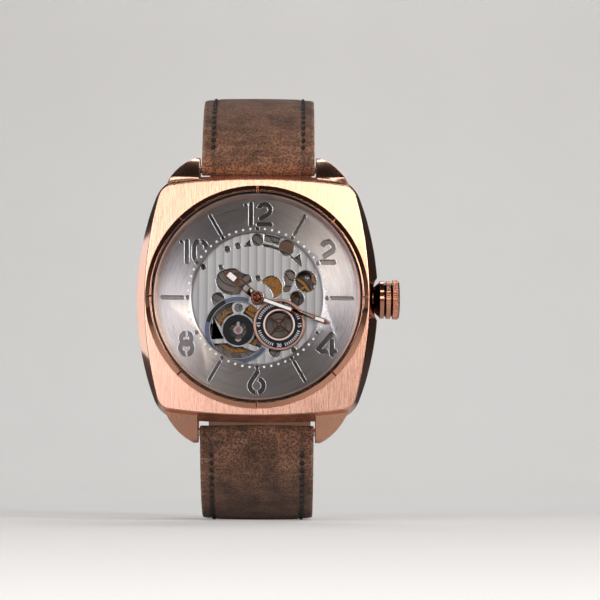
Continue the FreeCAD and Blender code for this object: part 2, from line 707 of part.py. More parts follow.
def skeleton_plate():
    """The striped front plate with its windows, the balance opening and the seconds opening."""
    foot, front = mm("skeleton_foot"), mm("skeleton_front")
    plate = rod(mm("plate_radius"), foot, front)
    windows = plate_windows(foot - 1, front + 1)
    windows.append(rod(mm("aperture_inner"), foot - 1, front + 1, *BALANCE))
    windows.append(rod(mm("track_inner") - 0.2, foot - 1, front + 1, *SECONDS))
    windows.append(rod(mm("hub_radius"), foot - 1, front + 1))
    plate = plate.cut(windows)
    return max(plate.Solids, key=lambda solid: solid.Volume)


SCREW_RADIUS = 0.45
PLATE_SCREWS = [clock(12.0, angle) for angle in (20, 140, 260)]
LOBE_SCREW = (BALANCE[0] + 0.05, BALANCE[1] + 3.9)
WINDOW_BARS = [(-4.7, 2.0, -2.4, -1.0, 0.95), (-4.4, -2.0, -2.2, -1.9, 0.9), (1.3, -2.7, 4.2, -3.7, 1.0),
               (0.05, 3.9, 0.0, 2.8, 1.7), (0.05, 3.9, 1.6, 4.6, 1.0)]
BRIDGE_SCREWS = [(3.2, 8.9), (-9.3, -1.2), (8.8, 4.1), (8.8, -4.1), (-8.05, -5.35)]


def balance_window_bridge():
    """The silver bridge across the balance opening: two bars, a screwed lobe and a jewelled eye."""
    foot, front = mm("skeleton_foot"), mm("skeleton_front")
    reach = mm("aperture_inner") - mm("seat_gap")
    eye = washer(mm("cover_disc_inner") + 0.1, mm("cover_disc_outer") + 0.3, foot, front, *BALANCE)
    bars = [capsule((BALANCE[0] + x1, BALANCE[1] + y1), (BALANCE[0] + x2, BALANCE[1] + y2), width,
                    foot, front) for x1, y1, x2, y2, width in WINDOW_BARS]
    hub = washer(mm("jewel_radius"), 0.8, foot, front, *BALANCE)
    spoke = capsule(polar(0.65, 90, *BALANCE), polar(2.0, 90, *BALANCE), 0.5, foot, front)
    bridge = joined([eye, rod(1.2, foot, front, *LOBE_SCREW), hub, spoke] + bars)
    bridge = bridge.common(rod(reach, foot, front, *BALANCE))
    bridge = bridge.cut(rod(mm("seconds_outer") + mm("seat_gap"), foot, front, *SECONDS))
    bridge = bridge.cut(rod(mm("hub_radius") + 0.4, foot, front))
    bridge = bridge.cut([rod(SCREW_RADIUS, foot, front, *LOBE_SCREW),
                         rod(mm("jewel_radius"), foot, front, *BALANCE)])
    return max(bridge.Solids, key=lambda solid: solid.Volume)


def aperture_arc():
    """The coloured arc round the balance opening, stopped by the hour ring and the seconds dial."""
    foot, front = mm("skeleton_front"), mm("skeleton_front") + 0.2
    arc = sector(mm("aperture_inner"), mm("aperture_outer"), 72, 325, foot, front, *BALANCE)
    arc = arc.common(rod(mm("dial_opening") - 0.05, foot, front))
    arc = arc.cut(rod(mm("seconds_outer") + mm("seat_gap"), foot, front, *SECONDS))
    return Part.makeCompound([solid for solid in arc.Solids if solid.Volume > 0.05])


keep("skeleton_plate", skeleton_plate())
keep("balance_window_bridge", balance_window_bridge())
keep("aperture_arc", aperture_arc())
keep("balance_cover_disc", washer(mm("cover_disc_inner"), mm("cover_disc_outer"), mm("skeleton_front"),
                                  mm("skeleton_front") + 0.25, *BALANCE)
     .cut(rod(mm("seconds_outer") + mm("seat_gap"), 0, mm("face"), *SECONDS))
     .cut(rod(0.55, 0, mm("face"), BALANCE[0], BALANCE[1] - 1.5)))


def at_seconds():
    """The placement of a turned body on the seconds arbor."""
    return Placement(Vector(), STAND_UP).multiply(Placement(Vector(*SECONDS, 0), Rotation()))


turned("seconds_dial_ring", [
    ("Sizes.seconds_inner", "Levels.skeleton_front"),
    ("Sizes.seconds_outer", "Levels.skeleton_front"),
    ("Sizes.seconds_outer", "Levels.skeleton_front + Sizes.seconds_ring_height - 0.1"),
    ("Sizes.seconds_outer - 0.12", "Levels.skeleton_front + Sizes.seconds_ring_height"),
    ("Sizes.seconds_inner + 0.05", "Levels.skeleton_front + Sizes.seconds_ring_height"),
    ("Sizes.seconds_inner", "Levels.skeleton_front + Sizes.seconds_ring_height - 0.1"),
], at_seconds())
turned("seconds_track", [
    ("Sizes.track_inner", "Levels.skeleton_front"),
    ("Sizes.seconds_inner", "Levels.skeleton_front"),
    ("Sizes.seconds_inner", "Levels.skeleton_front + Sizes.track_thickness"),
    ("Sizes.track_inner", "Levels.skeleton_front + Sizes.track_thickness"),
], at_seconds())

# ---------------------------------------------------------------------------------------------
# Movement frame
# ---------------------------------------------------------------------------------------------
PLATE_FOOT = mm("main_plate_level")
PLATE_FRONT = mm("main_front")
STEM_CUT_START = 9.4
STEM_CUT_HALF = 1.6
ROLLER_RADIUS = 0.42


def main_plate():
    """The main plate with the sink for the balance, jewel seats, windows and the keyless recess."""
    plate = rod(mm("plate_radius"), PLATE_FOOT, PLATE_FRONT)
    skirt = washer(mm("plate_radius") - 0.25, mm("plate_radius"), mm("bridge_front") + 0.3, PLATE_FOOT)
    rails = washer(mm("plate_radius") - 0.6, mm("plate_radius"), PLATE_FRONT, mm("skeleton_foot"))
    feet = [rod(0.7, mm("bridge_front"), PLATE_FOOT, x, y) for x, y in BRIDGE_SCREWS]
    post = rod(mm("arbor_radius"), PLATE_FRONT, mm("skeleton_foot"), *MINUTE_WHEEL)
    plate = joined([plate, skirt, rails, post] + feet)
    cutters = [rod(mm("balance_radius") + 0.7, PLATE_FOOT + mm("balance_floor"), PLATE_FRONT, *BALANCE),
               rod(ROLLER_RADIUS + 0.2, PLATE_FOOT, PLATE_FRONT, *BALANCE)]
    cutters.append(rod(mm("arbor_radius") + 0.35, 0, PLATE_FRONT, *CENTRE))
    for x, y in JEWELLED:
        cutters.append(rod(mm("jewel_radius"), PLATE_FOOT, PLATE_FOOT + mm("jewel_thickness"), x, y))
        cutters.append(rod(mm("pivot_radius") + mm("running_gap"), 0, PLATE_FRONT, x, y))
    cutters.append(rod(mm("arbor_radius") + 0.1, PLATE_FOOT, PLATE_FRONT, *BARREL))
    cutters += [rod(radius, PLATE_FOOT - 1, PLATE_FRONT + 1, x, y)
                for x, y, radius in ROUND_WINDOWS[SEE_THROUGH]]
    cutters.append(block(STEM_CUT_START, mm("movement_radius") + 1, -STEM_CUT_HALF, STEM_CUT_HALF,
                         mm("bridge_front"), PLATE_FRONT))
    return max(plate.cut(cutters).Solids, key=lambda solid: solid.Volume)


def screw_holes(foot, front, radius):
    """Cutters for the bridge screws."""
    return [rod(radius, foot, front, x, y) for x, y in BRIDGE_SCREWS]


def bridge(region, jewels):
    """A back bridge: the part of the round bridge blank inside a region, with seats for jewels."""
    foot, front = mm("bridge_level"), mm("bridge_front")
    blank = rod(mm("bridge_radius"), foot, front).common(prism(region, foot, front))
    cutters = screw_holes(foot, front, SCREW_RADIUS)
    for x, y in jewels:
        cutters.append(rod(mm("jewel_radius"), front - mm("jewel_thickness"), front, x, y))
        cutters.append(rod(mm("pivot_radius") + mm("running_gap"), foot, front, x, y))
    cutters.append(rod(1.9, foot, front, *CENTRE))
    cutters.append(rod(mm("arbor_radius") + 0.1, foot, front, *BARREL))
    return max(blank.cut(cutters).Solids, key=lambda solid: solid.Volume)


SPLIT_Y = -0.3
BLANK = 12.0
COCK_EDGE = 0.15
keep("main_plate", main_plate())
keep("barrel_bridge", bridge([(-BLANK, SPLIT_Y - 1.8), (0, SPLIT_Y), (4.0, BLANK), (-BLANK, BLANK)], []))
keep("train_bridge", bridge([(0.3, SPLIT_Y - 0.2), (4.3, BLANK), (BLANK, BLANK), (BLANK, -BLANK),
                             (-1.9, -BLANK), (COCK_EDGE - 2.05, -6.2), (0.3, -4.4)],
                            [THIRD, SECONDS, ESCAPE, PALLET]))
keep("balance_cock", bridge([(-BLANK, SPLIT_Y - 2.2), (-0.2, SPLIT_Y - 0.35), (-0.2, -4.3),
                             (-2.2, -5.6), (-2.2, -BLANK), (-BLANK, -BLANK)], [BALANCE]))
keep("movement_holder", washer(mm("holder_bore"), mm("holder_outer"), mm("bridge_front") + 0.3,
                               mm("skeleton_front") - mm("seat_gap"))
     .cut(Part.makeCylinder(mm("stem_radius") + 0.15, mm("case_width"), Vector(0, 0, mm("crown_level")),
                            Vector(1, 0, 0))))


def jewels():
    """Ring jewels pressed into the plates, with a hole for each pivot."""
    hole = mm("pivot_radius") + mm("running_gap")
    height = mm("jewel_thickness")
    stones = []
    for x, y in JEWELLED:
        for foot in (mm("bridge_front") - height, PLATE_FOOT):
            stones.append(washer(hole, mm("jewel_radius"), foot, foot + height, x, y))
    stones.append(washer(hole, mm("jewel_radius"), mm("bridge_front") - height, mm("bridge_front"), *BALANCE))
    stones.append(washer(hole, mm("jewel_radius"), mm("skeleton_foot"), mm("skeleton_front"), *BALANCE))
    return Part.makeCompound(stones)


def screw(x, y, foot, head, length):
    """A slotted cheese-head screw whose head faces the back when length is negative."""
    low, high = sorted((foot, foot + length))
    shank = rod(SCREW_RADIUS - mm("running_gap"), low, high, x, y)
    cap_low, cap_high = (foot, foot + head) if length < 0 else (foot - head, foot)
    cap = rod(SCREW_RADIUS + 0.3, cap_low, cap_high, x, y)
    slot_low = cap_high - head / 2 if length < 0 else cap_low
    slot = block(x - 1, x + 1, y - 0.1, y + 0.1, slot_low, slot_low + head / 2)
    return shank.fuse(cap).cut(slot)


keep("jewels", jewels())
keep("bridge_screws", Part.makeCompound(
    [screw(x, y, mm("bridge_level"), 0.3, mm("bridge_thickness")) for x, y in BRIDGE_SCREWS]
    + [screw(*LOBE_SCREW, mm("skeleton_front"), 0.2, -mm("skeleton_thickness"))]))


# ---------------------------------------------------------------------------------------------
# Going train
# ---------------------------------------------------------------------------------------------
def toothed(teeth, module, foot, thickness, centre, aim, tooth_at_aim, bore=0.0):
    """A spur wheel with slim straight-flanked teeth; a tooth or a gap sits at the aimed angle."""
    pitch = module * teeth / 2
    step = 360 / teeth
    outline = []
    offset = aim if tooth_at_aim else aim + step / 2
    for tooth in range(teeth):
        angle = offset + tooth * step
        for radius, share in ((pitch - 1.1 * module, -0.24), (pitch + 0.85 * module, -0.1),
                              (pitch + 0.85 * module, 0.1), (pitch - 1.1 * module, 0.24)):
            outline.append(polar(radius, angle + share * step, *centre))
    wheel = prism(outline, foot, foot + thickness)
    if bore:
        wheel = wheel.cut(rod(bore, foot, foot + thickness, *centre))
    return wheel


def spoked(wheel, centre, rim, hub, spokes, width, foot, thickness, turn=0.0):
    """Open a solid wheel out to a rim, a hub and straight spokes."""
    gap = washer(hub, rim, foot - 1, foot + thickness + 1, *centre)
    for spoke in range(spokes):
        bar = block(0, rim + 1, -width / 2, width / 2, foot - 1, foot + thickness + 1)
        bar.rotate(Vector(), Vector(0, 0, 1), turn + spoke * 360 / spokes)
        bar.translate(Vector(*centre, 0))
        gap = gap.cut(bar)
    return wheel.cut(gap)


def bearing(start, end):
    """The angle from one arbor to another."""
    return math.degrees(math.atan2(end[1] - start[1], end[0] - start[0]))


def arbor(centre, foot=None, front=None):
    """A plain arbor with a pivot at each end, running in the jewels of bridge and plate."""
    low = mm("bridge_front") + mm("running_gap") if foot is None else foot
    high = PLATE_FOOT - mm("running_gap") if front is None else front
    jewel = mm("jewel_thickness")
    return joined([rod(mm("arbor_radius"), low, high, *centre),
                   rod(mm("pivot_radius"), low - jewel, high + jewel, *centre)])


WHEEL = mm("wheel_thickness")
FOURTH_LEVEL = mm("bridge_front") + 0.25
THIRD_LEVEL = FOURTH_LEVEL + 0.55
CENTRE_LEVEL = THIRD_LEVEL + 0.6
PINION_OVERHANG = 0.1
BARREL_LEVEL = mm("bridge_front") + 0.08
BARREL_DRUM_HEIGHT = 1.2


def barrel():
    """The mainspring barrel: a toothed drum on its arbor."""
    radius = mm("barrel_module") * TEETH["barrel"] / 2
    teeth = toothed(TEETH["barrel"], mm("barrel_module"), BARREL_LEVEL + 0.25, 0.3, BARREL,
                    bearing(BARREL, CENTRE), False)
    drum = rod(radius - 0.5, BARREL_LEVEL, BARREL_LEVEL + BARREL_DRUM_HEIGHT, *BARREL)
    return joined([teeth, drum, rod(mm("arbor_radius"), mm("bridge_level") + 0.1, PLATE_FOOT + 0.3, *BARREL)])


def centre_wheel():
    """The centre wheel, its pinion and the long arbor that carries the cannon pinion."""
    radius = mm("centre_module") * TEETH["centre"] / 2
    wheel = toothed(TEETH["centre"], mm("centre_module"), CENTRE_LEVEL, WHEEL, CENTRE,
                    bearing(CENTRE, THIRD), False)
    wheel = spoked(wheel, CENTRE, radius - 0.55, 0.9, 4, 0.5, CENTRE_LEVEL, WHEEL, 20)
    pinion = toothed(TEETH["centre_pinion"], mm("barrel_module"), BARREL_LEVEL + 0.2, 0.4, CENTRE,
                     bearing(CENTRE, BARREL), True)
    shaft = rod(mm("arbor_radius"), mm("bridge_front") - 0.2, mm("hour_front"), *CENTRE)
    return joined([wheel, pinion, shaft])


def train_wheel(wheel, pinion, place, wheel_level, wheel_module, wheel_mate, pinion_level,
                pinion_module, pinion_mate, spokes):
    """A wheel and pinion on one arbor; the wheel shows a gap to its mate and the pinion a leaf."""
    radius = wheel_module * TEETH[wheel] / 2
    disc = toothed(TEETH[wheel], wheel_module, wheel_level, WHEEL, place, bearing(place, wheel_mate), False)
    disc = spoked(disc, place, radius - 0.5, 0.7, spokes, 0.4, wheel_level, WHEEL, 35)
    leaves = toothed(TEETH[pinion], pinion_module, pinion_level - PINION_OVERHANG,
                     WHEEL + 2 * PINION_OVERHANG, place, bearing(place, pinion_mate), True)
    return joined([disc, leaves, arbor(place)])


def escape_wheel():
    """The escape wheel with fifteen hooked club teeth, and its pinion."""
    radius = 1.7
    step = 360 / TEETH["escape"]
    outline = []
    for tooth in range(TEETH["escape"]):
        angle = tooth * step
        outline += [polar(radius - 0.5, angle, *ESCAPE), polar(radius, angle + 0.30 * step, *ESCAPE),
                    polar(radius - 0.06, angle + 0.52 * step, *ESCAPE),
                    polar(radius - 0.5, angle + 0.30 * step, *ESCAPE)]
    wheel = prism(outline, THIRD_LEVEL, THIRD_LEVEL + WHEEL)
    wheel = spoked(wheel, ESCAPE, radius - 0.75, 0.45, 4, 0.25, THIRD_LEVEL, WHEEL)
    leaves = toothed(TEETH["escape_pinion"], mm("fourth_module"), FOURTH_LEVEL - PINION_OVERHANG,
                     WHEEL + 2 * PINION_OVERHANG, ESCAPE, bearing(ESCAPE, SECONDS), True)
    return joined([wheel, leaves, arbor(ESCAPE)])


def pallet_fork():
    """The pallet fork: an anchor with two pallets towards the escape wheel, and a forked lever."""
    toward_balance = bearing(PALLET, BALANCE)
    foot, front = THIRD_LEVEL, THIRD_LEVEL + WHEEL
    lever = capsule(PALLET, polar(1.45, toward_balance, *PALLET), 0.3, foot, front)
    horns = [capsule(polar(1.4, toward_balance, *PALLET), polar(1.75, toward_balance + side * 9, *PALLET),
                     0.14, foot, front) for side in (-1, 1)]
    anchor = [capsule(PALLET, polar(1.3, toward_balance + side * 116, *PALLET), 0.3, foot, front)
              for side in (-1, 1)]
    fork = joined([lever, rod(0.35, foot, front, *PALLET), arbor(PALLET)] + horns + anchor)
    return fork.cut(rod(1.7 + 0.12, foot - 0.1, front + 0.1, *ESCAPE))


BALANCE_RIM = 0.4
BALANCE_LEVEL = PLATE_FRONT - BALANCE_RIM - 0.05
SPRING_LEVEL = PLATE_FRONT + 0.2
SPRING_INNER = 0.45
SPRING_HEIGHT = 0.15


def balance_wheel():
    """The balance: rim, three arms, poising screws, staff, roller and the collet of its spring."""
    rim_outer = mm("balance_radius")
    wheel = rod(rim_outer, BALANCE_LEVEL, BALANCE_LEVEL + BALANCE_RIM, *BALANCE)
    wheel = spoked(wheel, BALANCE, rim_outer - 0.5, 0.55, 3, 0.4, BALANCE_LEVEL, BALANCE_RIM, 30)
    screws = []
    for index in range(6):
        x, y = polar(rim_outer - 0.1, 60 * index + 12, *BALANCE)
        stud = Part.makeCylinder(0.16, 0.35, Vector(x, y, BALANCE_LEVEL + BALANCE_RIM / 2),
                                 Vector(x - BALANCE[0], y - BALANCE[1], 0))
        screws.append(stud)
    staff = rod(mm("arbor_radius"), mm("bridge_front") + mm("running_gap"), mm("skeleton_foot") - 0.05,
                *BALANCE)
    pivots = rod(mm("pivot_radius"), mm("bridge_front") - 0.2, mm("skeleton_front") - 0.1, *BALANCE)
    roller = rod(ROLLER_RADIUS, THIRD_LEVEL - 0.4, THIRD_LEVEL - 0.15, *BALANCE)
    collet = rod(SPRING_INNER, SPRING_LEVEL, SPRING_LEVEL + SPRING_HEIGHT, *BALANCE)
    return joined([wheel, staff, pivots, roller, collet] + screws)


def spiral(inner, outer, turns, width, foot, front, centre):
    """A flat coil: one closed band between two spirals of the same pitch."""
    steps = 18
    count = int(turns * steps) + 1
    pitch = (outer - inner) / turns
    inside = [polar(inner + pitch * i / steps, 360 * i / steps, *centre) for i in range(count)]
    outside = [polar(inner + width + pitch * i / steps, 360 * i / steps, *centre) for i in range(count)]
    rails = []
    for line in (inside, outside):
        curve = Part.BSplineCurve()
        curve.interpolate([Vector(x, y, foot) for x, y in line])
        rails.append(curve)
    ends = [Part.makeLine(rails[0].value(rails[0].FirstParameter), rails[1].value(rails[1].FirstParameter)),
            Part.makeLine(rails[0].value(rails[0].LastParameter), rails[1].value(rails[1].LastParameter))]
    ring = Part.Wire(Part.__sortEdges__([rails[0].toShape(), ends[1], rails[1].toShape(), ends[0]]))
    return Part.Face(ring).extrude(Vector(0, 0, front - foot))


keep("barrel", barrel())
keep("centre_wheel", centre_wheel())
keep("third_wheel", train_wheel("third", "third_pinion", THIRD, THIRD_LEVEL, mm("third_module"), SECONDS,
                                CENTRE_LEVEL, mm("centre_module"), CENTRE, 4))
keep("escape_wheel", escape_wheel())
keep("pallet_fork", pallet_fork())
keep("balance_wheel", balance_wheel())
keep("hairspring", spiral(SPRING_INNER, 2.3, 6, 0.08, SPRING_LEVEL, SPRING_LEVEL + SPRING_HEIGHT, BALANCE))


def fourth_wheel():
    """The fourth wheel, whose long front pivot carries the seconds indicator."""
    body = train_wheel("fourth", "fourth_pinion", SECONDS, FOURTH_LEVEL, mm("fourth_module"), ESCAPE,
                       THIRD_LEVEL, mm("third_module"), THIRD, 4)
    return body.fuse(rod(mm("pivot_radius"), PLATE_FOOT - 0.1, INDICATOR_LEVEL + 0.2, *SECONDS))


INDICATOR_LEVEL = mm("skeleton_front") + mm("track_thickness") + 0.15
INDICATOR_ANGLE = 90 - 53


def seconds_indicator():
    """The open disc that shows the seconds: a ring, four spokes, a hub and a pointer dot."""
    outer = mm("indicator_radius")
    foot, front = INDICATOR_LEVEL, INDICATOR_LEVEL + 0.18
    disc = spoked(rod(outer, foot, front, *SECONDS), SECONDS, outer - 0.36, 0.4, 4, 0.34, foot, 0.18, 52)
    dot = rod(0.28, foot, front + 0.1, *polar(outer - 0.14, INDICATOR_ANGLE, *SECONDS))
    return disc.fuse(dot).cut(rod(mm("pivot_radius"), foot - 1, front + 1, *SECONDS))


keep("fourth_wheel", fourth_wheel())
keep("seconds_indicator", seconds_indicator())

# ---------------------------------------------------------------------------------------------
# Motion work and hands
# ---------------------------------------------------------------------------------------------
CANNON_MODULE = 2 * MOTION_DISTANCE / (TEETH["cannon"] + TEETH["minute"])
HOUR_MODULE = 2 * MOTION_DISTANCE / (TEETH["hour"] + TEETH["minute_pinion"])
MOTION_LEVEL = mm("main_front") + 0.05
MOTION_STEP = 0.26
PIPE_OUTER = 0.55
HOUR_PIPE = 0.85
MINUTE_ANGLE = 90 - 109.2
HOUR_ANGLE = 90 - 309.2


def cannon_pinion():
    """The cannon pinion: a leaved tube, free to slip on the centre arbor, carrying the minute hand."""
    leaves = toothed(TEETH["cannon"], CANNON_MODULE, MOTION_LEVEL, MOTION_STEP - 0.04, CENTRE,
                     bearing(CENTRE, MINUTE_WHEEL), True)
    pipe = rod(PIPE_OUTER, MOTION_LEVEL, mm("minute_foot"))
    bore = rod(mm("arbor_radius") + mm("running_gap"), MOTION_LEVEL - 1, mm("minute_foot"))
    return joined([leaves, pipe]).cut(bore)


def hour_wheel():
    """The hour wheel and its pipe, turning on the cannon pinion."""
    level = MOTION_LEVEL + MOTION_STEP
    wheel = toothed(TEETH["hour"], HOUR_MODULE, level, MOTION_STEP - 0.04, CENTRE,
                    bearing(CENTRE, MINUTE_WHEEL), False)
    pipe = rod(HOUR_PIPE, level, mm("hour_foot"))
    return joined([wheel, pipe]).cut(rod(PIPE_OUTER + mm("running_gap"), level - 1, mm("hour_foot")))


def minute_wheel():
    """The minute wheel and its pinion, which step the motion down to the hour wheel."""
    wheel = toothed(TEETH["minute"], CANNON_MODULE, MOTION_LEVEL, MOTION_STEP - 0.04, MINUTE_WHEEL,
                    bearing(MINUTE_WHEEL, CENTRE), False)
    leaves = toothed(TEETH["minute_pinion"], HOUR_MODULE, MOTION_LEVEL, 2 * MOTION_STEP - 0.06, MINUTE_WHEEL,
                     bearing(MINUTE_WHEEL, CENTRE), True)
    return joined([wheel, leaves]).cut(rod(mm("arbor_radius") + mm("running_gap"), 0, 9, *MINUTE_WHEEL))


def hand(length, width, angle, foot, root, hub, openings):
    """A baton hand: a tapered frame with an open slot, a round hub and seats for its lume."""
    front = foot + mm("hand_thickness")
    blade = prism([(0, -width * 0.42), (length - width * 0.6, -width / 2), (length, 0),
                   (length - width * 0.6, width / 2), (0, width * 0.42)], foot, front)
    shape = blade.fuse(rod(hub, foot, front)).cut(rod(root, foot - 1, front + 1))
    for start, end, share in openings:
        shape = shape.cut(block(start, end, -width * share, width * share, foot - 1, front + 1))
    shape.rotate(Vector(), Vector(0, 0, 1), angle)
    return shape


def lume(seats, width, angle, foot):
    """Bars of luminous compound filling the seats in a hand."""
    bars = [block(start, end, -width * share, width * share, foot, foot + mm("hand_thickness"))
            for start, end, share in seats]
    bars = Part.makeCompound(bars)
    bars.rotate(Vector(), Vector(0, 0, 1), angle)
    return bars


MINUTE_SEATS = [(1.25, 6.3, 0.28), (mm("minute_length") - 2.3, mm("minute_length") - 0.7, 0.28)]
MINUTE_SLOT = (6.6, mm("minute_length") - 2.6, 0.28)
HOUR_SEATS = [(1.4, 1.85, 0.3), (mm("hour_length") - 2.35, mm("hour_length") - 0.75, 0.3)]
HOUR_SLOT = (2.1, mm("hour_length") - 2.6, 0.3)


def minute_hand():
    """The minute hand on its domed hub, with two lume seats and an open slot between them."""
    shape = hand(mm("minute_length"), mm("minute_width"), MINUTE_ANGLE, mm("minute_foot"), 0.01,
                 mm("hub_radius") - 0.3, MINUTE_SEATS + [MINUTE_SLOT])
    cap = Part.makeCone(0.56, 0.42, 0.25, Vector(0, 0, mm("minute_front")))
    return joined([shape, cap, rod(0.5, mm("minute_foot"), mm("minute_front"))])


keep("cannon_pinion", cannon_pinion())
keep("hour_wheel", hour_wheel())
keep("minute_wheel", minute_wheel())
keep("minute_hand", minute_hand())
keep("minute_hand_lume", lume(MINUTE_SEATS, mm("minute_width"), MINUTE_ANGLE, mm("minute_foot")))
keep("hour_hand", hand(mm("hour_length"), mm("hour_width"), HOUR_ANGLE, mm("hour_foot"),
                       PIPE_OUTER + mm("running_gap"), mm("hub_radius"), HOUR_SEATS + [HOUR_SLOT]))
keep("hour_hand_lume", lume(HOUR_SEATS, mm("hour_width"), HOUR_ANGLE, mm("hour_foot")))

# ---------------------------------------------------------------------------------------------
# Winding rotor
# ---------------------------------------------------------------------------------------------
ROTOR_FRONT = mm("rotor_level") + mm("rotor_plate")
BEARING_OUTER = 1.75


def rotor():
    """The winding rotor: a half disc with three windows and a heavy rim outside the bridges."""
    foot = mm("rotor_level")
    web = sector(0.01, mm("rotor_radius"), 180, 360, foot, ROTOR_FRONT)
    boss = rod(2.6, foot, ROTOR_FRONT)
    rim = sector(mm("bridge_radius") + 0.45, mm("rotor_radius"), 182, 358, foot, foot + mm("rotor_rim"))
    body = joined([web, boss, rim])
    for start, end in ((190, 230), (240, 300), (310, 350)):
        body = body.cut(sector(4.0, 9.2, start, end, foot - 1, ROTOR_FRONT + 0.01))
    return body.cut(rod(BEARING_OUTER, foot - 1, ROTOR_FRONT + 1))


keep("rotor_weight", rotor())
keep("rotor_bearing", washer(1.1, BEARING_OUTER, mm("rotor_level"), ROTOR_FRONT))
keep("rotor_axle", joined([rod(1.1 - mm("running_gap"), mm("rotor_level") - 0.05, ROTOR_FRONT + 0.1),
                           rod(1.9, ROTOR_FRONT + 0.1, mm("bridge_front") - 0.25)]))

# ---------------------------------------------------------------------------------------------
# Crown and stem
# ---------------------------------------------------------------------------------------------
CROWN_AXIS = Placement(Vector(), STAND_UP).multiply(
    Placement(Vector(0, 0, mm("crown_level")), ALONG_STEM))
KNURLS = 50


def along_crown(radius, start, end, bore=0.0):
    """A round bar or tube on the crown axis, between two distances from the hand axis."""
    bar = Part.makeCylinder(radius, end - start, Vector(start, 0, mm("crown_level")), Vector(1, 0, 0))
    if bore:
        bar = bar.cut(Part.makeCylinder(bore, end - start, Vector(start, 0, mm("crown_level")),
                                        Vector(1, 0, 0)))
    return bar


def crown():
    """The crown: a flared neck, three knurled bands parted by grooves, and a bore over the tube."""
    radius, length = mm("crown_radius"), mm("crown_length")
    neck = mm("tube_outer") + 0.65
    profile = [(0, 0), (neck, 0), (radius - 0.4, 1.3), (radius - 0.15, 1.4), (radius - 0.15, 2.1),
               (radius - 0.5, 2.15), (radius - 0.5, 2.45), (radius - 0.1, 2.5), (radius - 0.1, 3.25),
               (radius - 0.5, 3.3), (radius - 0.5, 3.6), (radius, 3.65), (radius, length - 0.4),
               (radius - 0.35, length - 0.05), (radius - 0.8, length), (0, length)]
    ring = [Vector(CROWN_START + x, 0, mm("crown_level") + r) for r, x in profile]
    body = Part.Face(Part.makePolygon(ring + ring[:1])).revolve(
        Vector(0, 0, mm("crown_level")), Vector(1, 0, 0), 360)
    flutes = []
    for index in range(KNURLS):
        angle = math.tau * index / KNURLS
        y = (radius + 0.02) * math.cos(angle)
        z = mm("crown_level") + (radius + 0.02) * math.sin(angle)
        flutes.append(Part.makeCylinder(0.17, length + 1, Vector(CROWN_START - 0.5, y, z), Vector(1, 0, 0)))
    body = body.cut(flutes)
    body = body.cut(along_crown(mm("tube_outer") + 0.3, CROWN_START - 1, CROWN_START + 2.0))
    return body.fuse(along_crown(mm("stem_radius"), CROWN_START + 1.9, CROWN_START + 2.2))


TUBE_START = mm("case_bore") + 1.5
LEVER_START = 11.1
LEVER_PLATE = 0.3
CLUTCH_START = 9.75
CLUTCH_END = 10.9
GROOVE_RADIUS = 0.35


def winding_stem():
    """The stem: from the clutch, past the groove that the setting lever holds, into the crown."""
    bar = along_crown(mm("stem_radius"), CLUTCH_START, CROWN_START + 1.9)
    groove = along_crown(mm("stem_radius") + 1, LEVER_START - 0.05, LEVER_START + LEVER_PLATE + 0.05,
                         GROOVE_RADIUS)
    return bar.cut(groove)


def clutch_pinion():
    """The sliding pinion on the stem, with face teeth."""
    body = along_crown(0.95, CLUTCH_START, CLUTCH_END, mm("stem_radius"))
    cuts = []
    for index in range(6):
        bar = block(CLUTCH_START - 0.1, CLUTCH_START + 0.3, 0.65, 1.2, -0.14, 0.14)
        bar.rotate(Vector(), Vector(1, 0, 0), index * 60)
        bar.translate(Vector(0, 0, mm("crown_level")))
        cuts.append(bar)
    return body.cut(cuts)


keep("crown_tube", along_crown(mm("tube_outer"), TUBE_START, CROWN_START + 1.6, mm("tube_bore")))
keep("crown", crown())
keep("crown_gasket", along_crown(mm("tube_outer") + 0.3, CROWN_START + 0.5, CROWN_START + 1.1,
                                 mm("tube_outer") + 0.05))
keep("winding_stem", winding_stem())
keep("clutch_pinion", clutch_pinion())
keep("setting_lever", block(LEVER_START, LEVER_START + LEVER_PLATE, -1.2, 1.2, mm("bridge_front") + 0.6,
                            PLATE_FRONT - 0.2)
     .cut(along_crown(GROOVE_RADIUS + mm("running_gap"), LEVER_START - 1, LEVER_START + 1)))

# ---------------------------------------------------------------------------------------------
# Strap
# ---------------------------------------------------------------------------------------------
BAR = (mm("bar_reach"), mm("bar_level"))
STRAP_START_HEADING = -15.0
HALF_STRAP = mm("strap_width") / 2
OUTER_FACE = mm("glue_line") + mm("leather_thickness")
INNER_FACE = -mm("glue_line") - mm("lining_thickness")
EYE_RADIUS = mm("bar_radius") + mm("seat_gap")


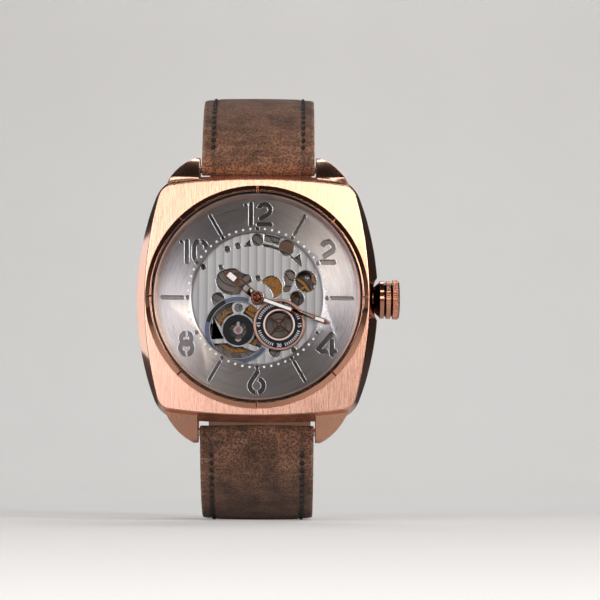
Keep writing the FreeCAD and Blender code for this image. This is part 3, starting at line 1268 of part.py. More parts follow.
class Path:
    """A route in the side view, of straight runs and tangent arcs; positive bends turn left."""

    def __init__(self, start, heading):
        self.start = start
        self.heading = heading
        self.pieces = []

    def run(self, length):
        self.pieces.append((length, 0.0, 0.0))
        return self

    def bend(self, radius, angle):
        self.pieces.append((0.0, radius, angle))
        return self

    def places(self):
        """Start, middle and end of each piece as (y, z, heading)."""
        y, z, heading = *self.start, self.heading
        found = []
        for length, radius, angle in self.pieces:
            stops = [(y, z, heading)]
            for share in (0.5, 1.0):
                if radius:
                    side = math.copysign(1, angle)
                    centre = polar(radius, heading + 90 * side, y, z)
                    turned_to = heading + angle * share
                    stops.append((*polar(radius, turned_to - 90 * side, *centre), turned_to))
                else:
                    stops.append((*polar(length * share, heading, y, z), heading))
            found.append(stops)
            y, z, heading = stops[-1]
        return found

    def edges(self, offset):
        """The edges of the route moved sideways, to its left when the offset is positive."""
        made = []
        for (length, radius, angle), stops in zip(self.pieces, self.places()):
            points = [Vector(-HALF_STRAP, *polar(offset, heading + 90, y, z)) for y, z, heading in stops]
            if radius:
                made.append(Part.Arc(*points).toShape())
            else:
                made.append(Part.makeLine(points[0], points[2]))
        return made

    def end(self):
        """The last place on the route."""
        return self.places()[-1][-1]


def ribbon(path, low, high):
    """A band of strap material between two sideways offsets of a route, as wide as the strap."""
    near, far = path.edges(low), path.edges(high)
    caps = [Part.makeLine(near[0].Vertexes[0].Point, far[0].Vertexes[0].Point),
            Part.makeLine(near[-1].Vertexes[-1].Point, far[-1].Vertexes[-1].Point)]
    outline = Part.Wire(Part.__sortEdges__(near + [caps[1]] + far[::-1] + [caps[0]]))
    return Part.Face(outline).extrude(Vector(2 * HALF_STRAP, 0, 0))


def crossbar(radius, y, z, half_length=HALF_STRAP):
    """A round bar across the strap."""
    return Part.makeCylinder(radius, 2 * half_length, Vector(-half_length, y, z), Vector(1, 0, 0))


upper_path = (Path(BAR, STRAP_START_HEADING)
              .bend(mm("shoulder_bend"), STRAP_START_HEADING - 60)
              .run(mm("side_run"))
              .bend(mm("back_bend"), -90))
flat_start = upper_path.end()
BUCKLE_BAR = (-mm("buckle_offset"), flat_start[1])
upper_path.run(flat_start[0] + mm("buckle_offset"))

RAMP_ANGLE = math.degrees(math.acos(1 - mm("overlap_rise") / (2 * mm("ramp_bend"))))
RAMP_LENGTH = 2 * mm("ramp_bend") * math.sin(math.radians(RAMP_ANGLE))
RAMP_END = BUCKLE_BAR[0] - 0.4
lower_path = (Path((-BAR[0], BAR[1]), 180 - STRAP_START_HEADING)
              .bend(mm("shoulder_bend"), 60 - STRAP_START_HEADING)
              .run(mm("side_run"))
              .bend(mm("back_bend"), 90)
              .run(flat_start[0] + RAMP_END - RAMP_LENGTH)
              .bend(mm("ramp_bend"), -RAMP_ANGLE)
              .bend(mm("ramp_bend"), RAMP_ANGLE)
              .run(flat_start[0] - RAMP_END)
              .bend(mm("back_bend") + mm("overlap_rise"), mm("tail_bend_angle")))
TAIL_LEVEL = BUCKLE_BAR[1] - mm("overlap_rise")


def tongue_window():
    """The notch in the short strap round the tongue."""
    y, z = BUCKLE_BAR
    half = mm("tongue_width") / 2 + mm("soft_gap")
    return block(-half, half, y - 2, y + 2.2, z - 3, z + 3)


def punched_holes():
    """The adjustment holes of the long strap, and the stretched one that holds the tongue."""
    slot = block(-mm("tongue_width") / 2 - 0.2, mm("tongue_width") / 2 + 0.2, BUCKLE_BAR[0] - 7.4,
                 BUCKLE_BAR[0] + 0.3, TAIL_LEVEL - 3, TAIL_LEVEL + 5)
    hole_y = [BUCKLE_BAR[0] - 4.5 + mm("punch_pitch") * index for index in (1, 2, 3)]
    return [slot] + [rod(mm("punch_radius"), TAIL_LEVEL - 3, TAIL_LEVEL + 1.3, 0, y) for y in hole_y]


def short_leather():
    """Outer leather of the 12 o'clock strap, folded round the lug bar and the buckle bar."""
    body = joined([ribbon(upper_path, mm("glue_line"), OUTER_FACE), crossbar(OUTER_FACE, *BAR),
                   crossbar(OUTER_FACE, *BUCKLE_BAR)])
    body = body.cut([crossbar(EYE_RADIUS, *BAR), crossbar(EYE_RADIUS, *BUCKLE_BAR), tongue_window()])
    return body


def lining(path, bars, cutters):
    """The lining of a strap half, trimmed clear of the folded eyes."""
    body = ribbon(path, INNER_FACE, -mm("glue_line"))
    return body.cut([crossbar(OUTER_FACE + mm("seat_gap"), *bar) for bar in bars] + cutters)


def long_leather():
    """Outer leather of the 6 o'clock strap, folded round the lug bar, with its punched holes."""
    lug_bar = (-BAR[0], BAR[1])
    body = joined([ribbon(lower_path, -OUTER_FACE, -mm("glue_line")), crossbar(OUTER_FACE, *lug_bar)])
    return body.cut([crossbar(EYE_RADIUS, *lug_bar)] + punched_holes())


def long_lining():
    """The lining of the 6 o'clock strap."""
    lug_bar = (-BAR[0], BAR[1])
    body = ribbon(lower_path, mm("glue_line"), -INNER_FACE)
    return body.cut([crossbar(OUTER_FACE + mm("seat_gap"), *lug_bar)] + punched_holes())


keep("strap_12_leather", short_leather())
keep("strap_12_lining", lining(upper_path, (BAR, BUCKLE_BAR), [tongue_window()]))
keep("strap_6_leather", long_leather())
keep("strap_6_lining", long_lining())


def lug_bar(along):
    """A spring bar between two lugs: a tube with a sprung tip at each end."""
    half = mm("lug_gap") / 2 - mm("seat_gap")
    place = (BAR[0] * along, BAR[1])
    return joined([crossbar(mm("bar_radius"), *place, half),
                   crossbar(mm("lug_hole") - mm("running_gap"), *place, half + 0.9)])


keep("lug_spring_bars", Part.makeCompound([lug_bar(1), lug_bar(-1)]))

# ---------------------------------------------------------------------------------------------
# Keepers and buckle
# ---------------------------------------------------------------------------------------------
FIXED_KEEPER_START = BUCKLE_BAR[0] + 2.6
FREE_KEEPER_START = FIXED_KEEPER_START + mm("keeper_width") + 3.0
STACK_INNER = BUCKLE_BAR[1] - INNER_FACE + mm("keeper_gap")
STACK_OUTER = TAIL_LEVEL - OUTER_FACE - mm("keeper_gap")
keeper_wall, keeper_half = mm("keeper_wall"), HALF_STRAP + mm("keeper_gap")


def keeper(label, start):
    """A leather loop round both layers of strap: a box with a box-shaped way through it."""
    solid = document.addObject("Part::Box", f"{label}_blank")
    hollow = document.addObject("Part::Box", f"{label}_way")
    solid.setExpression("Width", "Sizes.keeper_width")
    solid.setExpression("Length", "Sizes.strap_width + 2 * Sizes.keeper_gap + 2 * Sizes.keeper_wall")
    hollow.setExpression("Length", "Sizes.strap_width + 2 * Sizes.keeper_gap")
    hollow.setExpression("Width", "Sizes.keeper_width + 2")
    solid.Height = STACK_INNER - STACK_OUTER + 2 * keeper_wall
    hollow.Height = STACK_INNER - STACK_OUTER
    solid.Placement.Base = Vector(-keeper_half - keeper_wall, start, STACK_OUTER - keeper_wall)
    hollow.Placement.Base = Vector(-keeper_half, start - 1, STACK_OUTER)
    loop = document.addObject("Part::Cut", label)
    loop.Base, loop.Tool, loop.Label = solid, hollow, label
    loop.Placement = Placement(Vector(), STAND_UP)
    subparts.append(loop)


keeper("fixed_keeper", FIXED_KEEPER_START)
keeper("free_keeper", FREE_KEEPER_START)

FRAME_INNER = HALF_STRAP + 0.5
FRONT_BAR = (BUCKLE_BAR[0] - mm("frame_reach"), BUCKLE_BAR[1] - 2.95)


def buckle_frame():
    """The buckle frame: two sloping cheeks drilled for the bar, and a round front bar."""
    half = FRAME_INNER + mm("frame_wall")
    radius = mm("frame_bar") / 2
    cheeks = []
    for low in (-half, FRAME_INNER):
        blank = [Part.makeCylinder(radius, mm("frame_wall"), Vector(low, *place), Vector(1, 0, 0))
                 for place in (BUCKLE_BAR, FRONT_BAR)]
        slope = math.atan2(FRONT_BAR[1] - BUCKLE_BAR[1], FRONT_BAR[0] - BUCKLE_BAR[0])
        rise = Vector(0, -math.sin(slope) * radius, math.cos(slope) * radius)
        web = [Vector(low, *BUCKLE_BAR) + rise, Vector(low, *FRONT_BAR) + rise,
               Vector(low, *FRONT_BAR) - rise, Vector(low, *BUCKLE_BAR) - rise]
        plate = Part.Face(Part.makePolygon(web + web[:1])).extrude(Vector(mm("frame_wall"), 0, 0))
        cheeks += blank + [plate]
    frame = joined(cheeks + [crossbar(radius, *FRONT_BAR, half)])
    return frame.cut(crossbar(mm("lug_hole"), *BUCKLE_BAR, half - 0.5))


def buckle_bar():
    """The spring bar that carries the buckle and its tongue."""
    return joined([crossbar(mm("bar_radius"), *BUCKLE_BAR, FRAME_INNER - mm("seat_gap")),
                   crossbar(mm("lug_hole") - mm("running_gap"), *BUCKLE_BAR, FRAME_INNER + 1.1)])


def buckle_tongue():
    """The tongue: an eye round the buckle bar and a flat blade resting on the front bar."""
    half, thick = mm("tongue_width") / 2, mm("tongue_thickness")
    y, z = BUCKLE_BAR
    rest_y = FRONT_BAR[0]
    rest_z = FRONT_BAR[1] - mm("frame_bar") / 2 - mm("soft_gap")
    slope = math.atan2(rest_z - z, rest_y - y)
    rise = Vector(0, -math.sin(slope), math.cos(slope))
    reach = Vector(0, math.cos(slope), math.sin(slope))
    root = Vector(-half, y, z)
    tip = Vector(-half, rest_y, rest_z) + reach * 0.9
    low, high = (-0.0, thick) if rise.z < 0 else (-thick, 0.0)
    blade = [root + rise * low, tip + rise * low, tip + rise * (0.6 * high + 0.4 * low), root + rise * high]
    bar = Part.Face(Part.makePolygon(blade + blade[:1])).extrude(Vector(2 * half, 0, 0))
    eye = Part.makeCylinder(mm("bar_radius") + 0.55, 2 * half, root, Vector(1, 0, 0))
    return joined([bar, eye]).cut(crossbar(mm("bar_radius") + mm("running_gap"), *BUCKLE_BAR))


keep("buckle_frame", buckle_frame())
keep("buckle_bar", buckle_bar())
keep("buckle_tongue", buckle_tongue())

# ---------------------------------------------------------------------------------------------
# Check and export
# ---------------------------------------------------------------------------------------------
document.recompute()
for item in document.Objects:
    if {"Invalid", "Error"} & set(item.State):
        raise RuntimeError(f"{item.Label} did not build: {item.State}")

os.makedirs("parts", exist_ok=True)
for item in subparts:
    if item.Shape.isNull() or not item.Shape.isValid():
        raise RuntimeError(f"{item.Label} has no valid shape")
    item.Shape.exportStep(f"parts/{item.Label}.step")
print(len(subparts), "sub-parts written")
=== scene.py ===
"""Looks of the skeleton wristwatch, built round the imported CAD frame.

World axes: +X points to 3 o'clock, +Z to 12 o'clock, and the dial faces -Y. A side view of the strap
uses dial coordinates instead: y towards 12 o'clock and z out of the dial. Sizes here are in
millimetres until a mesh is made; the scene itself is in metres.
"""
import json
import math

import bmesh
import bpy
import numpy as np
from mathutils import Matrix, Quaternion, Vector


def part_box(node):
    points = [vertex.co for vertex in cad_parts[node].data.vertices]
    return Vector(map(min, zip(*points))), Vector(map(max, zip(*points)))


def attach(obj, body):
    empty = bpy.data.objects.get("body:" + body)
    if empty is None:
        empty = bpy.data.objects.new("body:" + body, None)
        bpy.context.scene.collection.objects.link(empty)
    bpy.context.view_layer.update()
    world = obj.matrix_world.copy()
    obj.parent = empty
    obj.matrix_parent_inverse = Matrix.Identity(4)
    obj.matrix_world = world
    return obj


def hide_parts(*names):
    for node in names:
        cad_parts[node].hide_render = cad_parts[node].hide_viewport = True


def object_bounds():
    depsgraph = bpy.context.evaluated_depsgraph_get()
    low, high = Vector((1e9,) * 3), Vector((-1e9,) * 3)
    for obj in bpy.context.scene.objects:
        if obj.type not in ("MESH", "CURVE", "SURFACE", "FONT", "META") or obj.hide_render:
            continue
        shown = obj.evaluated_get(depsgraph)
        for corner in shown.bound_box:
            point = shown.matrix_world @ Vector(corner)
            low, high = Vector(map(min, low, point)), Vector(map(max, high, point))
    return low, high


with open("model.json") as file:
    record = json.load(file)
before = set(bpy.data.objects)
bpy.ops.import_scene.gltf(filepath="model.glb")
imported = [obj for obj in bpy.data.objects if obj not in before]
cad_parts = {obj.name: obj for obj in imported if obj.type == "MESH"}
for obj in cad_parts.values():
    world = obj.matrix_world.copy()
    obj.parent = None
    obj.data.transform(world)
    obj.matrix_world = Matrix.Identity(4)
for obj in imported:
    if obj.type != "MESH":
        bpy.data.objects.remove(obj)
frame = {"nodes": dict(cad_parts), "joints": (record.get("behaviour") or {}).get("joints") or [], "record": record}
cad_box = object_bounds()

MM = 0.001
CAD_MERGE = 2e-6  # corners of a CAD mesh closer than this, in metres, are one
NODES = frame["nodes"]
BODY_OF = {node: body for body, members in frame["record"]["behaviour"]["bodies"].items()
           for node in members}
SLOT_OF = {node: piece.data.materials[0].name for node, piece in NODES.items()}


def corners(node):
    """Lowest and highest corner of a CAD node, in millimetres."""
    low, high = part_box(node)
    return np.array(low) / MM, np.array(high) / MM


def middle(node):
    """The centre of a CAD node's box, in millimetres."""
    return sum(corners(node)) / 2


# ---------------------------------------------------------------------------------------------
# Building materials
# ---------------------------------------------------------------------------------------------
def linear(code):
    """An sRGB hex colour as a linear RGBA colour."""
    parts = np.array([int(code[at:at + 2], 16) for at in (1, 3, 5)]) / 255
    parts = np.where(parts <= 0.04045, parts / 12.92, ((parts + 0.055) / 1.055) ** 2.4)
    return (*(float(part) for part in parts), 1.0)


def add(tree, kind, inputs, output=0, **settings):
    """Adds a shader node; inputs are sockets to link from, or plain values. Returns one output."""
    made = tree.nodes.new("ShaderNode" + kind)
    for name, value in settings.items():
        setattr(made, name, value)
    for key, value in inputs.items():
        if isinstance(value, bpy.types.NodeSocket):
            tree.links.new(value, made.inputs[key])
        else:
            made.inputs[key].default_value = linear(value) if isinstance(value, str) else value
    return made.outputs[output]


def new_material(name, **sockets):
    """A material with one Principled shader; sockets are its uniform values, by name with _ for a space."""
    made = bpy.data.materials.new(name)
    made.use_nodes = True
    shader = made.node_tree.nodes["Principled BSDF"]
    for key, value in sockets.items():
        plain = linear(value) if isinstance(value, str) else value
        shader.inputs[key.replace("_", " ")].default_value = plain
    return made, made.node_tree, shader.inputs


def place(tree, stretch=(1, 1, 1), centre=(0, 0, 0)):
    """Object coordinates in millimetres from a centre, each axis then multiplied by its stretch."""
    scale = [value / MM for value in stretch]
    shift = [-value * times for value, times in zip(centre, stretch)]
    return add(tree, "Mapping", {"Vector": add(tree, "TexCoord", {}, "Object"), "Location": shift,
                                 "Scale": scale})


def noise(tree, where, scale=1.0, detail=2.0, roughness=0.5):
    """Fractal noise with one swing per millimetre at scale 1."""
    return add(tree, "TexNoise", {"Vector": where, "Scale": scale, "Detail": detail, "Roughness": roughness})


def sums(tree, kind, *values):
    """A Math node on one to three values."""
    return add(tree, "Math", dict(enumerate(values)), operation=kind)


def spread(tree, value, low, high, start=0.0, end=1.0):
    """A value between start and end moved to the range low to high."""
    return add(tree, "MapRange", {0: value, 1: start, 2: end, 3: low, 4: high})


def blend(tree, share, first, second, how="MIX"):
    """A colour between two others, or two colours joined in another way."""
    return add(tree, "Mix", {0: share, 6: first, 7: second}, "Result", data_type="RGBA", blend_type=how)


def bump(tree, sockets, height, depth):
    """Raises the surface by a height between 0 and 1, times a depth in millimetres."""
    tree.links.new(add(tree, "Bump", {"Height": height, "Distance": depth * MM}), sockets["Normal"])


def drive(tree, sockets, **values):
    """Links values to sockets of the shader, by name with _ for a space."""
    for key, value in values.items():
        tree.links.new(value, sockets[key.replace("_", " ")])


def round_centre(tree, centre=(0, 0, 0)):
    """Distance in millimetres from the axis of the dial or another centre, and the way outwards."""
    flat = place(tree, (1, 0, 1), centre)
    outwards = add(tree, "VectorMath", {0: flat}, operation="NORMALIZE")
    return add(tree, "VectorMath", {0: flat}, "Value", operation="LENGTH"), outwards


# ---------------------------------------------------------------------------------------------
# Metals
# ---------------------------------------------------------------------------------------------
def polished_rose_gold():
    """Rose gold plating over steel, buffed on a wheel: sharp reflections with faint hazy patches."""
    made, tree, sockets = new_material("polished_rose_gold", Base_Color="#E9AC90", Metallic=1.0)
    haze = noise(tree, place(tree), 1.5, 4)
    drive(tree, sockets, Roughness=spread(tree, haze, 0.05, 0.12, 0.3, 0.7))
    return made


def knurled_rose_gold():
    """Rose gold over a knurled crown: plain rose gold on the crests, with painted shade, nearly black, in
    the flutes.
    """
    made, tree, sockets = new_material("knurled_rose_gold", Metallic=1.0)
    low, high = corners("crown")
    across = add(tree, "VectorMath", {0: place(tree, (0, 1, 1), tuple((low + high) / 2))}, "Value",
                 operation="LENGTH")
    radius = (high[2] - low[2]) / 2
    # painted shade: from the crests down into the flutes the colour darkens to nearly black
    painted_light_crest = spread(tree, across, 0, 1, radius - 0.36, radius - 0.06)
    haze = noise(tree, place(tree), 2.5, 3)
    drive(tree, sockets, Base_Color=blend(tree, painted_light_crest, "#2A120C", "#EFB096"),
          Roughness=spread(tree, haze, 0.12, 0.22, 0.3, 0.7))
    return made


def cut_rose_gold():
    """Rose gold hands, cut with a diamond tool: mirror flats; on the hub, painted shade as a dark ring and a
    painted highlight as a pale ring near its rim.
    """
    made, tree, sockets = new_material("cut_rose_gold", Metallic=1.0)
    radius = round_centre(tree)[0]
    # painted shade: a dark ring 0.55 mm from the centre stands for the shade in a turned groove
    painted_groove_shade = sums(tree, "COMPARE", radius, 0.55, 0.14)
    # painted highlight: a pale ring 1 mm from the centre stands for light caught by the hub's rim
    rim = sums(tree, "COMPARE", radius, 1.0, 0.1)
    tone = blend(tree, painted_groove_shade, "#D98F6C", "#4A2A1C")
    haze = noise(tree, place(tree), 3, 3)
    drive(tree, sockets, Base_Color=blend(tree, rim, tone, "#F3BC9C"),
          Roughness=spread(tree, haze, 0.1, 0.2, 0.3, 0.7))
    return made


def turned_rose_gold():
    """Rose gold turned on a lathe round the small seconds and left satin: pale, with fine circular lines,
    darker within 2.4 mm of the centre, and a painted highlight as a thin pale ring 2.62 mm out.
    """
    made, tree, sockets = new_material("turned_rose_gold", Metallic=1.0)
    radius = round_centre(tree, tuple(middle("seconds_track")))[0]
    lines = noise(tree, add(tree, "CombineXYZ", {0: radius}), 9, 3)
    # painted highlight: a thin near-white ring where a crest would catch the light
    painted_light_crest = sums(tree, "COMPARE", radius, 2.62, 0.13)
    satin = blend(tree, lines, "#A67A6B", "#D6AB9C")
    tone = blend(tree, spread(tree, radius, 0, 1, 2.4, 3.0), "#4E352C", satin)
    drive(tree, sockets, Base_Color=blend(tree, painted_light_crest, tone, "#FBDCD0"),
          Roughness=spread(tree, lines, 0.3, 0.4, 0.3, 0.7))
    bump(tree, sockets, lines, 0.01)
    return made


def satin_rose_gold():
    """Rose gold left with a fine satin grain: a soft pale glow wherever light reaches the sloping ring."""
    made, tree, sockets = new_material("satin_rose_gold", Metallic=1.0)
    grain = noise(tree, place(tree), 6, 3)
    drive(tree, sockets, Base_Color=blend(tree, grain, "#EFC3AE", "#FBDDCC"),
          Roughness=spread(tree, grain, 0.36, 0.48, 0.3, 0.7))
    return made


def brushed_rose_gold():
    """Rose gold plating over steel, satin brushed from 12 to 6 o'clock: a sheen drawn out sideways."""
    made, tree, sockets = new_material("brushed_rose_gold", Metallic=1.0, Anisotropic=0.8)
    lines = noise(tree, place(tree, (9.0, 9.0, 0.35)), detail=4, roughness=0.6)
    drive(tree, sockets, Base_Color=blend(tree, spread(tree, lines, 0, 1, 0.3, 0.7), "#DDA488", "#EDB9A0"),
          Roughness=spread(tree, lines, 0.23, 0.3, 0.3, 0.7), Tangent=add(tree, "CombineXYZ", {0: 1.0}))
    bump(tree, sockets, lines, 0.002)
    return made


def polished_steel():
    """Stainless steel, turned and polished."""
    made, tree, sockets = new_material("polished_steel", Base_Color="#BEBDBD", Metallic=1.0)
    drive(tree, sockets, Roughness=spread(tree, noise(tree, place(tree), 3, 3), 0.12, 0.24, 0.3, 0.7))
    return made


def frosted_nickel():
    """Nickel-plated brass, blasted matt, with shallow steps turned into it round each wheel and cloudy brown
    tarnish. Painted shade keeps its whole tone dark brown for the depth behind the openings of the dial,
    and a painted dark line runs along the outer edge of each step: it reads as deep, worked metal."""
    made, tree, sockets = new_material("frosted_nickel", Metallic=1.0)
    grain = noise(tree, place(tree), 7, 4)
    nearest = None
    for wheel in WHEELS:
        away = round_centre(tree, tuple(middle(wheel)))[0]
        nearest = away if nearest is None else sums(tree, "MINIMUM", nearest, away)
    step_width = 1.15
    step = sums(tree, "MULTIPLY", nearest, 1 / step_width)
    level = add(tree, "TexWhiteNoise", {"W": sums(tree, "FLOOR", step)}, noise_dimensions="1D")
    # painted shade: a dark line at the outer edge of each turned step, laid on in the colour below
    edge = spread(tree, sums(tree, "FRACT", step), 0, 1, 0.86, 0.94)
    # cloudy tarnish in a tone kept dark brown, partly painted shade for the depth behind the dial
    tone = blend(tree, noise(tree, place(tree), 0.5, 3), "#3E352F", "#7C7168")
    tone = blend(tree, sums(tree, "MULTIPLY", level, 0.5), tone, "#8F857C")
    drive(tree, sockets, Base_Color=blend(tree, sums(tree, "MULTIPLY", edge, 0.7), tone, "#1E1916"),
          Roughness=spread(tree, grain, 0.26, 0.44, 0.3, 0.7))
    bump(tree, sockets, sums(tree, "MULTIPLY_ADD", grain, 0.12, sums(tree, "ADD", level, edge)), 0.05)
    return made


def gilt_brass():
    """Gilded brass of the wheels, lightly brushed."""
    made, tree, sockets = new_material("gilt_brass", Base_Color="#9A6C3C", Metallic=1.0)
    grain = noise(tree, place(tree, (1, 0.4, 1)), 8, 3)
    drive(tree, sockets, Roughness=spread(tree, grain, 0.2, 0.36, 0.3, 0.7))
    return made


def circular_brushed(name, pale, dark, coarse):
    """Silvered brass brushed in circles on a lathe: the grooves draw the sheen out towards the centre."""
    made, tree, sockets = new_material(name, Metallic=1.0, Anisotropic=0.85)
    radius, outwards = round_centre(tree)
    slow = add(tree, "VectorMath", {0: outwards, "Scale": 0.8}, operation="SCALE")
    grooves = add(tree, "VectorMath", {0: add(tree, "CombineXYZ", {0: radius}), 1: slow}, operation="ADD")
    lines = noise(tree, grooves, 5.0, 6, 0.75)
    drive(tree, sockets, Tangent=outwards, Roughness=spread(tree, lines, 0.25, 0.36, 0.3, 0.7),
          Base_Color=blend(tree, spread(tree, lines, 0, 1, 0.3, 0.7), dark, pale))
    bump(tree, sockets, lines, coarse)
    return made


STRIPE_PITCH = 1.45
WHEELS = ("barrel", "centre_wheel", "third_wheel", "fourth_wheel", "escape_wheel", "minute_wheel")
BALANCE = np.array(next(joint["pos_m"] for joint in frame["joints"] if joint["name"] == "balance_swing")) / MM


def striped_rhodium():
    """Rhodium-plated plate with straight stripes from 12 to 6 o'clock: each is ground slightly aslant, and
    its colour runs from pale to dark across it as painted sheen and shade, with a painted dark line
    at its edge.
    """
    made, tree, sockets = new_material("striped_rhodium_plate", Metallic=0.9, Anisotropic=0.7)
    across = add(tree, "SeparateXYZ", {0: place(tree, (1 / STRIPE_PITCH, 1, 1))})
    saw = sums(tree, "FRACT", across)
    edge = sums(tree, "POWER", saw, 6.0)
    lines = noise(tree, place(tree, (7.0, 1.0, 0.2)), detail=4, roughness=0.7)
    # painted sheen and shade: each stripe's colour goes from pale to dark across it
    tone = blend(tree, spread(tree, saw, 0, 1), "#9C9894", "#85817D")
    # painted shade: a dark line at the edge of each stripe
    tone = blend(tree, spread(tree, edge, 0, 0.6), tone, "#6B6763")
    drive(tree, sockets, Base_Color=tone, Roughness=spread(tree, lines, 0.3, 0.45, 0.3, 0.7),
          Tangent=add(tree, "CombineXYZ", {0: 1.0}))
    bump(tree, sockets, sums(tree, "MULTIPLY_ADD", lines, 0.02, saw), 0.05)
    return made


# ---------------------------------------------------------------------------------------------
# Lacquers, stones and glass
# ---------------------------------------------------------------------------------------------
def black_lacquer():
    """Black lacquer with a soft gloss and a fine orange-peel surface."""
    made, tree, sockets = new_material("black_lacquer", Base_Color="#060505", Specular_IOR_Level=0.3)
    peel = noise(tree, place(tree), 4, 3)
    drive(tree, sockets, Roughness=spread(tree, peel, 0.3, 0.45, 0.3, 0.7))
    bump(tree, sockets, peel, 0.004)
    return made


def arc_lacquer():
    """Blue-grey lacquer between two bare rims, black over one stretch, with fine ruled lines lower down."""
    made, tree, sockets = new_material("blue_grey_arc_lacquer", Metallic=0.35)
    black_from, black_to, ruled_from, lines_round = 115 / 360, 165 / 360, 238 / 360, 144
    arc_middle, lacquer_half = 5.455, 0.385
    radius, outwards = round_centre(tree, tuple(BALANCE))
    x = add(tree, "SeparateXYZ", {0: outwards})
    z = add(tree, "SeparateXYZ", {0: outwards}, "Z")
    turn = sums(tree, "FRACT", sums(tree, "MULTIPLY_ADD", sums(tree, "ARCTAN2", z, x), 0.5 / math.pi, 1.0))
    black = sums(tree, "MULTIPLY", sums(tree, "GREATER_THAN", turn, black_from),
                 sums(tree, "LESS_THAN", turn, black_to))
    comb = sums(tree, "GREATER_THAN", sums(tree, "FRACT", sums(tree, "MULTIPLY", turn, lines_round)), 0.5)
    ruled = sums(tree, "MULTIPLY", sums(tree, "GREATER_THAN", turn, ruled_from), comb)
    off_middle = sums(tree, "ABSOLUTE", sums(tree, "SUBTRACT", radius, arc_middle))
    rim = sums(tree, "GREATER_THAN", off_middle, lacquer_half)
    tone = blend(tree, noise(tree, place(tree), 0.7, 2), "#4B5068", "#6A6E84")
    tone = blend(tree, black, tone, "#131316")
    tone = blend(tree, sums(tree, "MULTIPLY", ruled, 0.65), tone, "#2A2A30")
    drive(tree, sockets, Base_Color=blend(tree, rim, tone, "#A9A6A6"),
          Roughness=spread(tree, noise(tree, place(tree), 4, 3), 0.28, 0.42, 0.3, 0.7))
    return made


def synthetic_ruby():
    """Synthetic ruby, polished: deep pink-red with a glassy shine."""
    made, tree, sockets = new_material("synthetic_ruby", Roughness=0.06, IOR=1.77)
    drive(tree, sockets, Base_Color=blend(tree, noise(tree, place(tree), 2, 2), "#7A3A48", "#B98488"))
    return made


def luminous_compound():
    """Luminous compound: a matt off-white paste with a fine grain."""
    made, tree, sockets = new_material("luminous_compound", Roughness=0.5)
    grain = noise(tree, place(tree), 12, 3)
    drive(tree, sockets, Base_Color=blend(tree, grain, "#F4F1EA", "#FFFFFC"))
    bump(tree, sockets, grain, 0.01)
    return made


def printed_white():
    """White ink, pad printed: flat and slightly chalky."""
    made, tree, sockets = new_material("pad_printed_white", Roughness=0.6)
    drive(tree, sockets, Base_Color=blend(tree, noise(tree, place(tree), 9, 2), "#DADADA", "#F4F4F4"))
    return made


def black_rubber():
    """Moulded black rubber with a dusty matt skin."""
    made, tree, sockets = new_material("black_rubber", Base_Color="#141414")
    grain = noise(tree, place(tree), 10, 3)
    drive(tree, sockets, Roughness=spread(tree, grain, 0.5, 0.7, 0.3, 0.7))
    bump(tree, sockets, grain, 0.01)
    return made


def coated_sapphire():
    """Sapphire crystal with an anti-glare coat: clear, with a weak mirror that grows at its rim."""
    made = bpy.data.materials.new("coated_sapphire")
    made.use_nodes = True
    tree = made.node_tree
    tree.nodes.remove(tree.nodes["Principled BSDF"])
    clear = add(tree, "BsdfTransparent", {"Color": "#FBFCFD"})
    mirror = add(tree, "BsdfAnisotropic", {"Color": "#E8ECF4", "Roughness": 0.02})
    surface = add(tree, "MixShader", {0: add(tree, "Fresnel", {"IOR": 1.22}), 1: clear, 2: mirror})
    tree.links.new(surface, tree.nodes["Material Output"].inputs["Surface"])
    return made


# ---------------------------------------------------------------------------------------------
# Leather
# ---------------------------------------------------------------------------------------------
STITCH_ROW = corners("strap_12_leather")[1][0] - 2.0


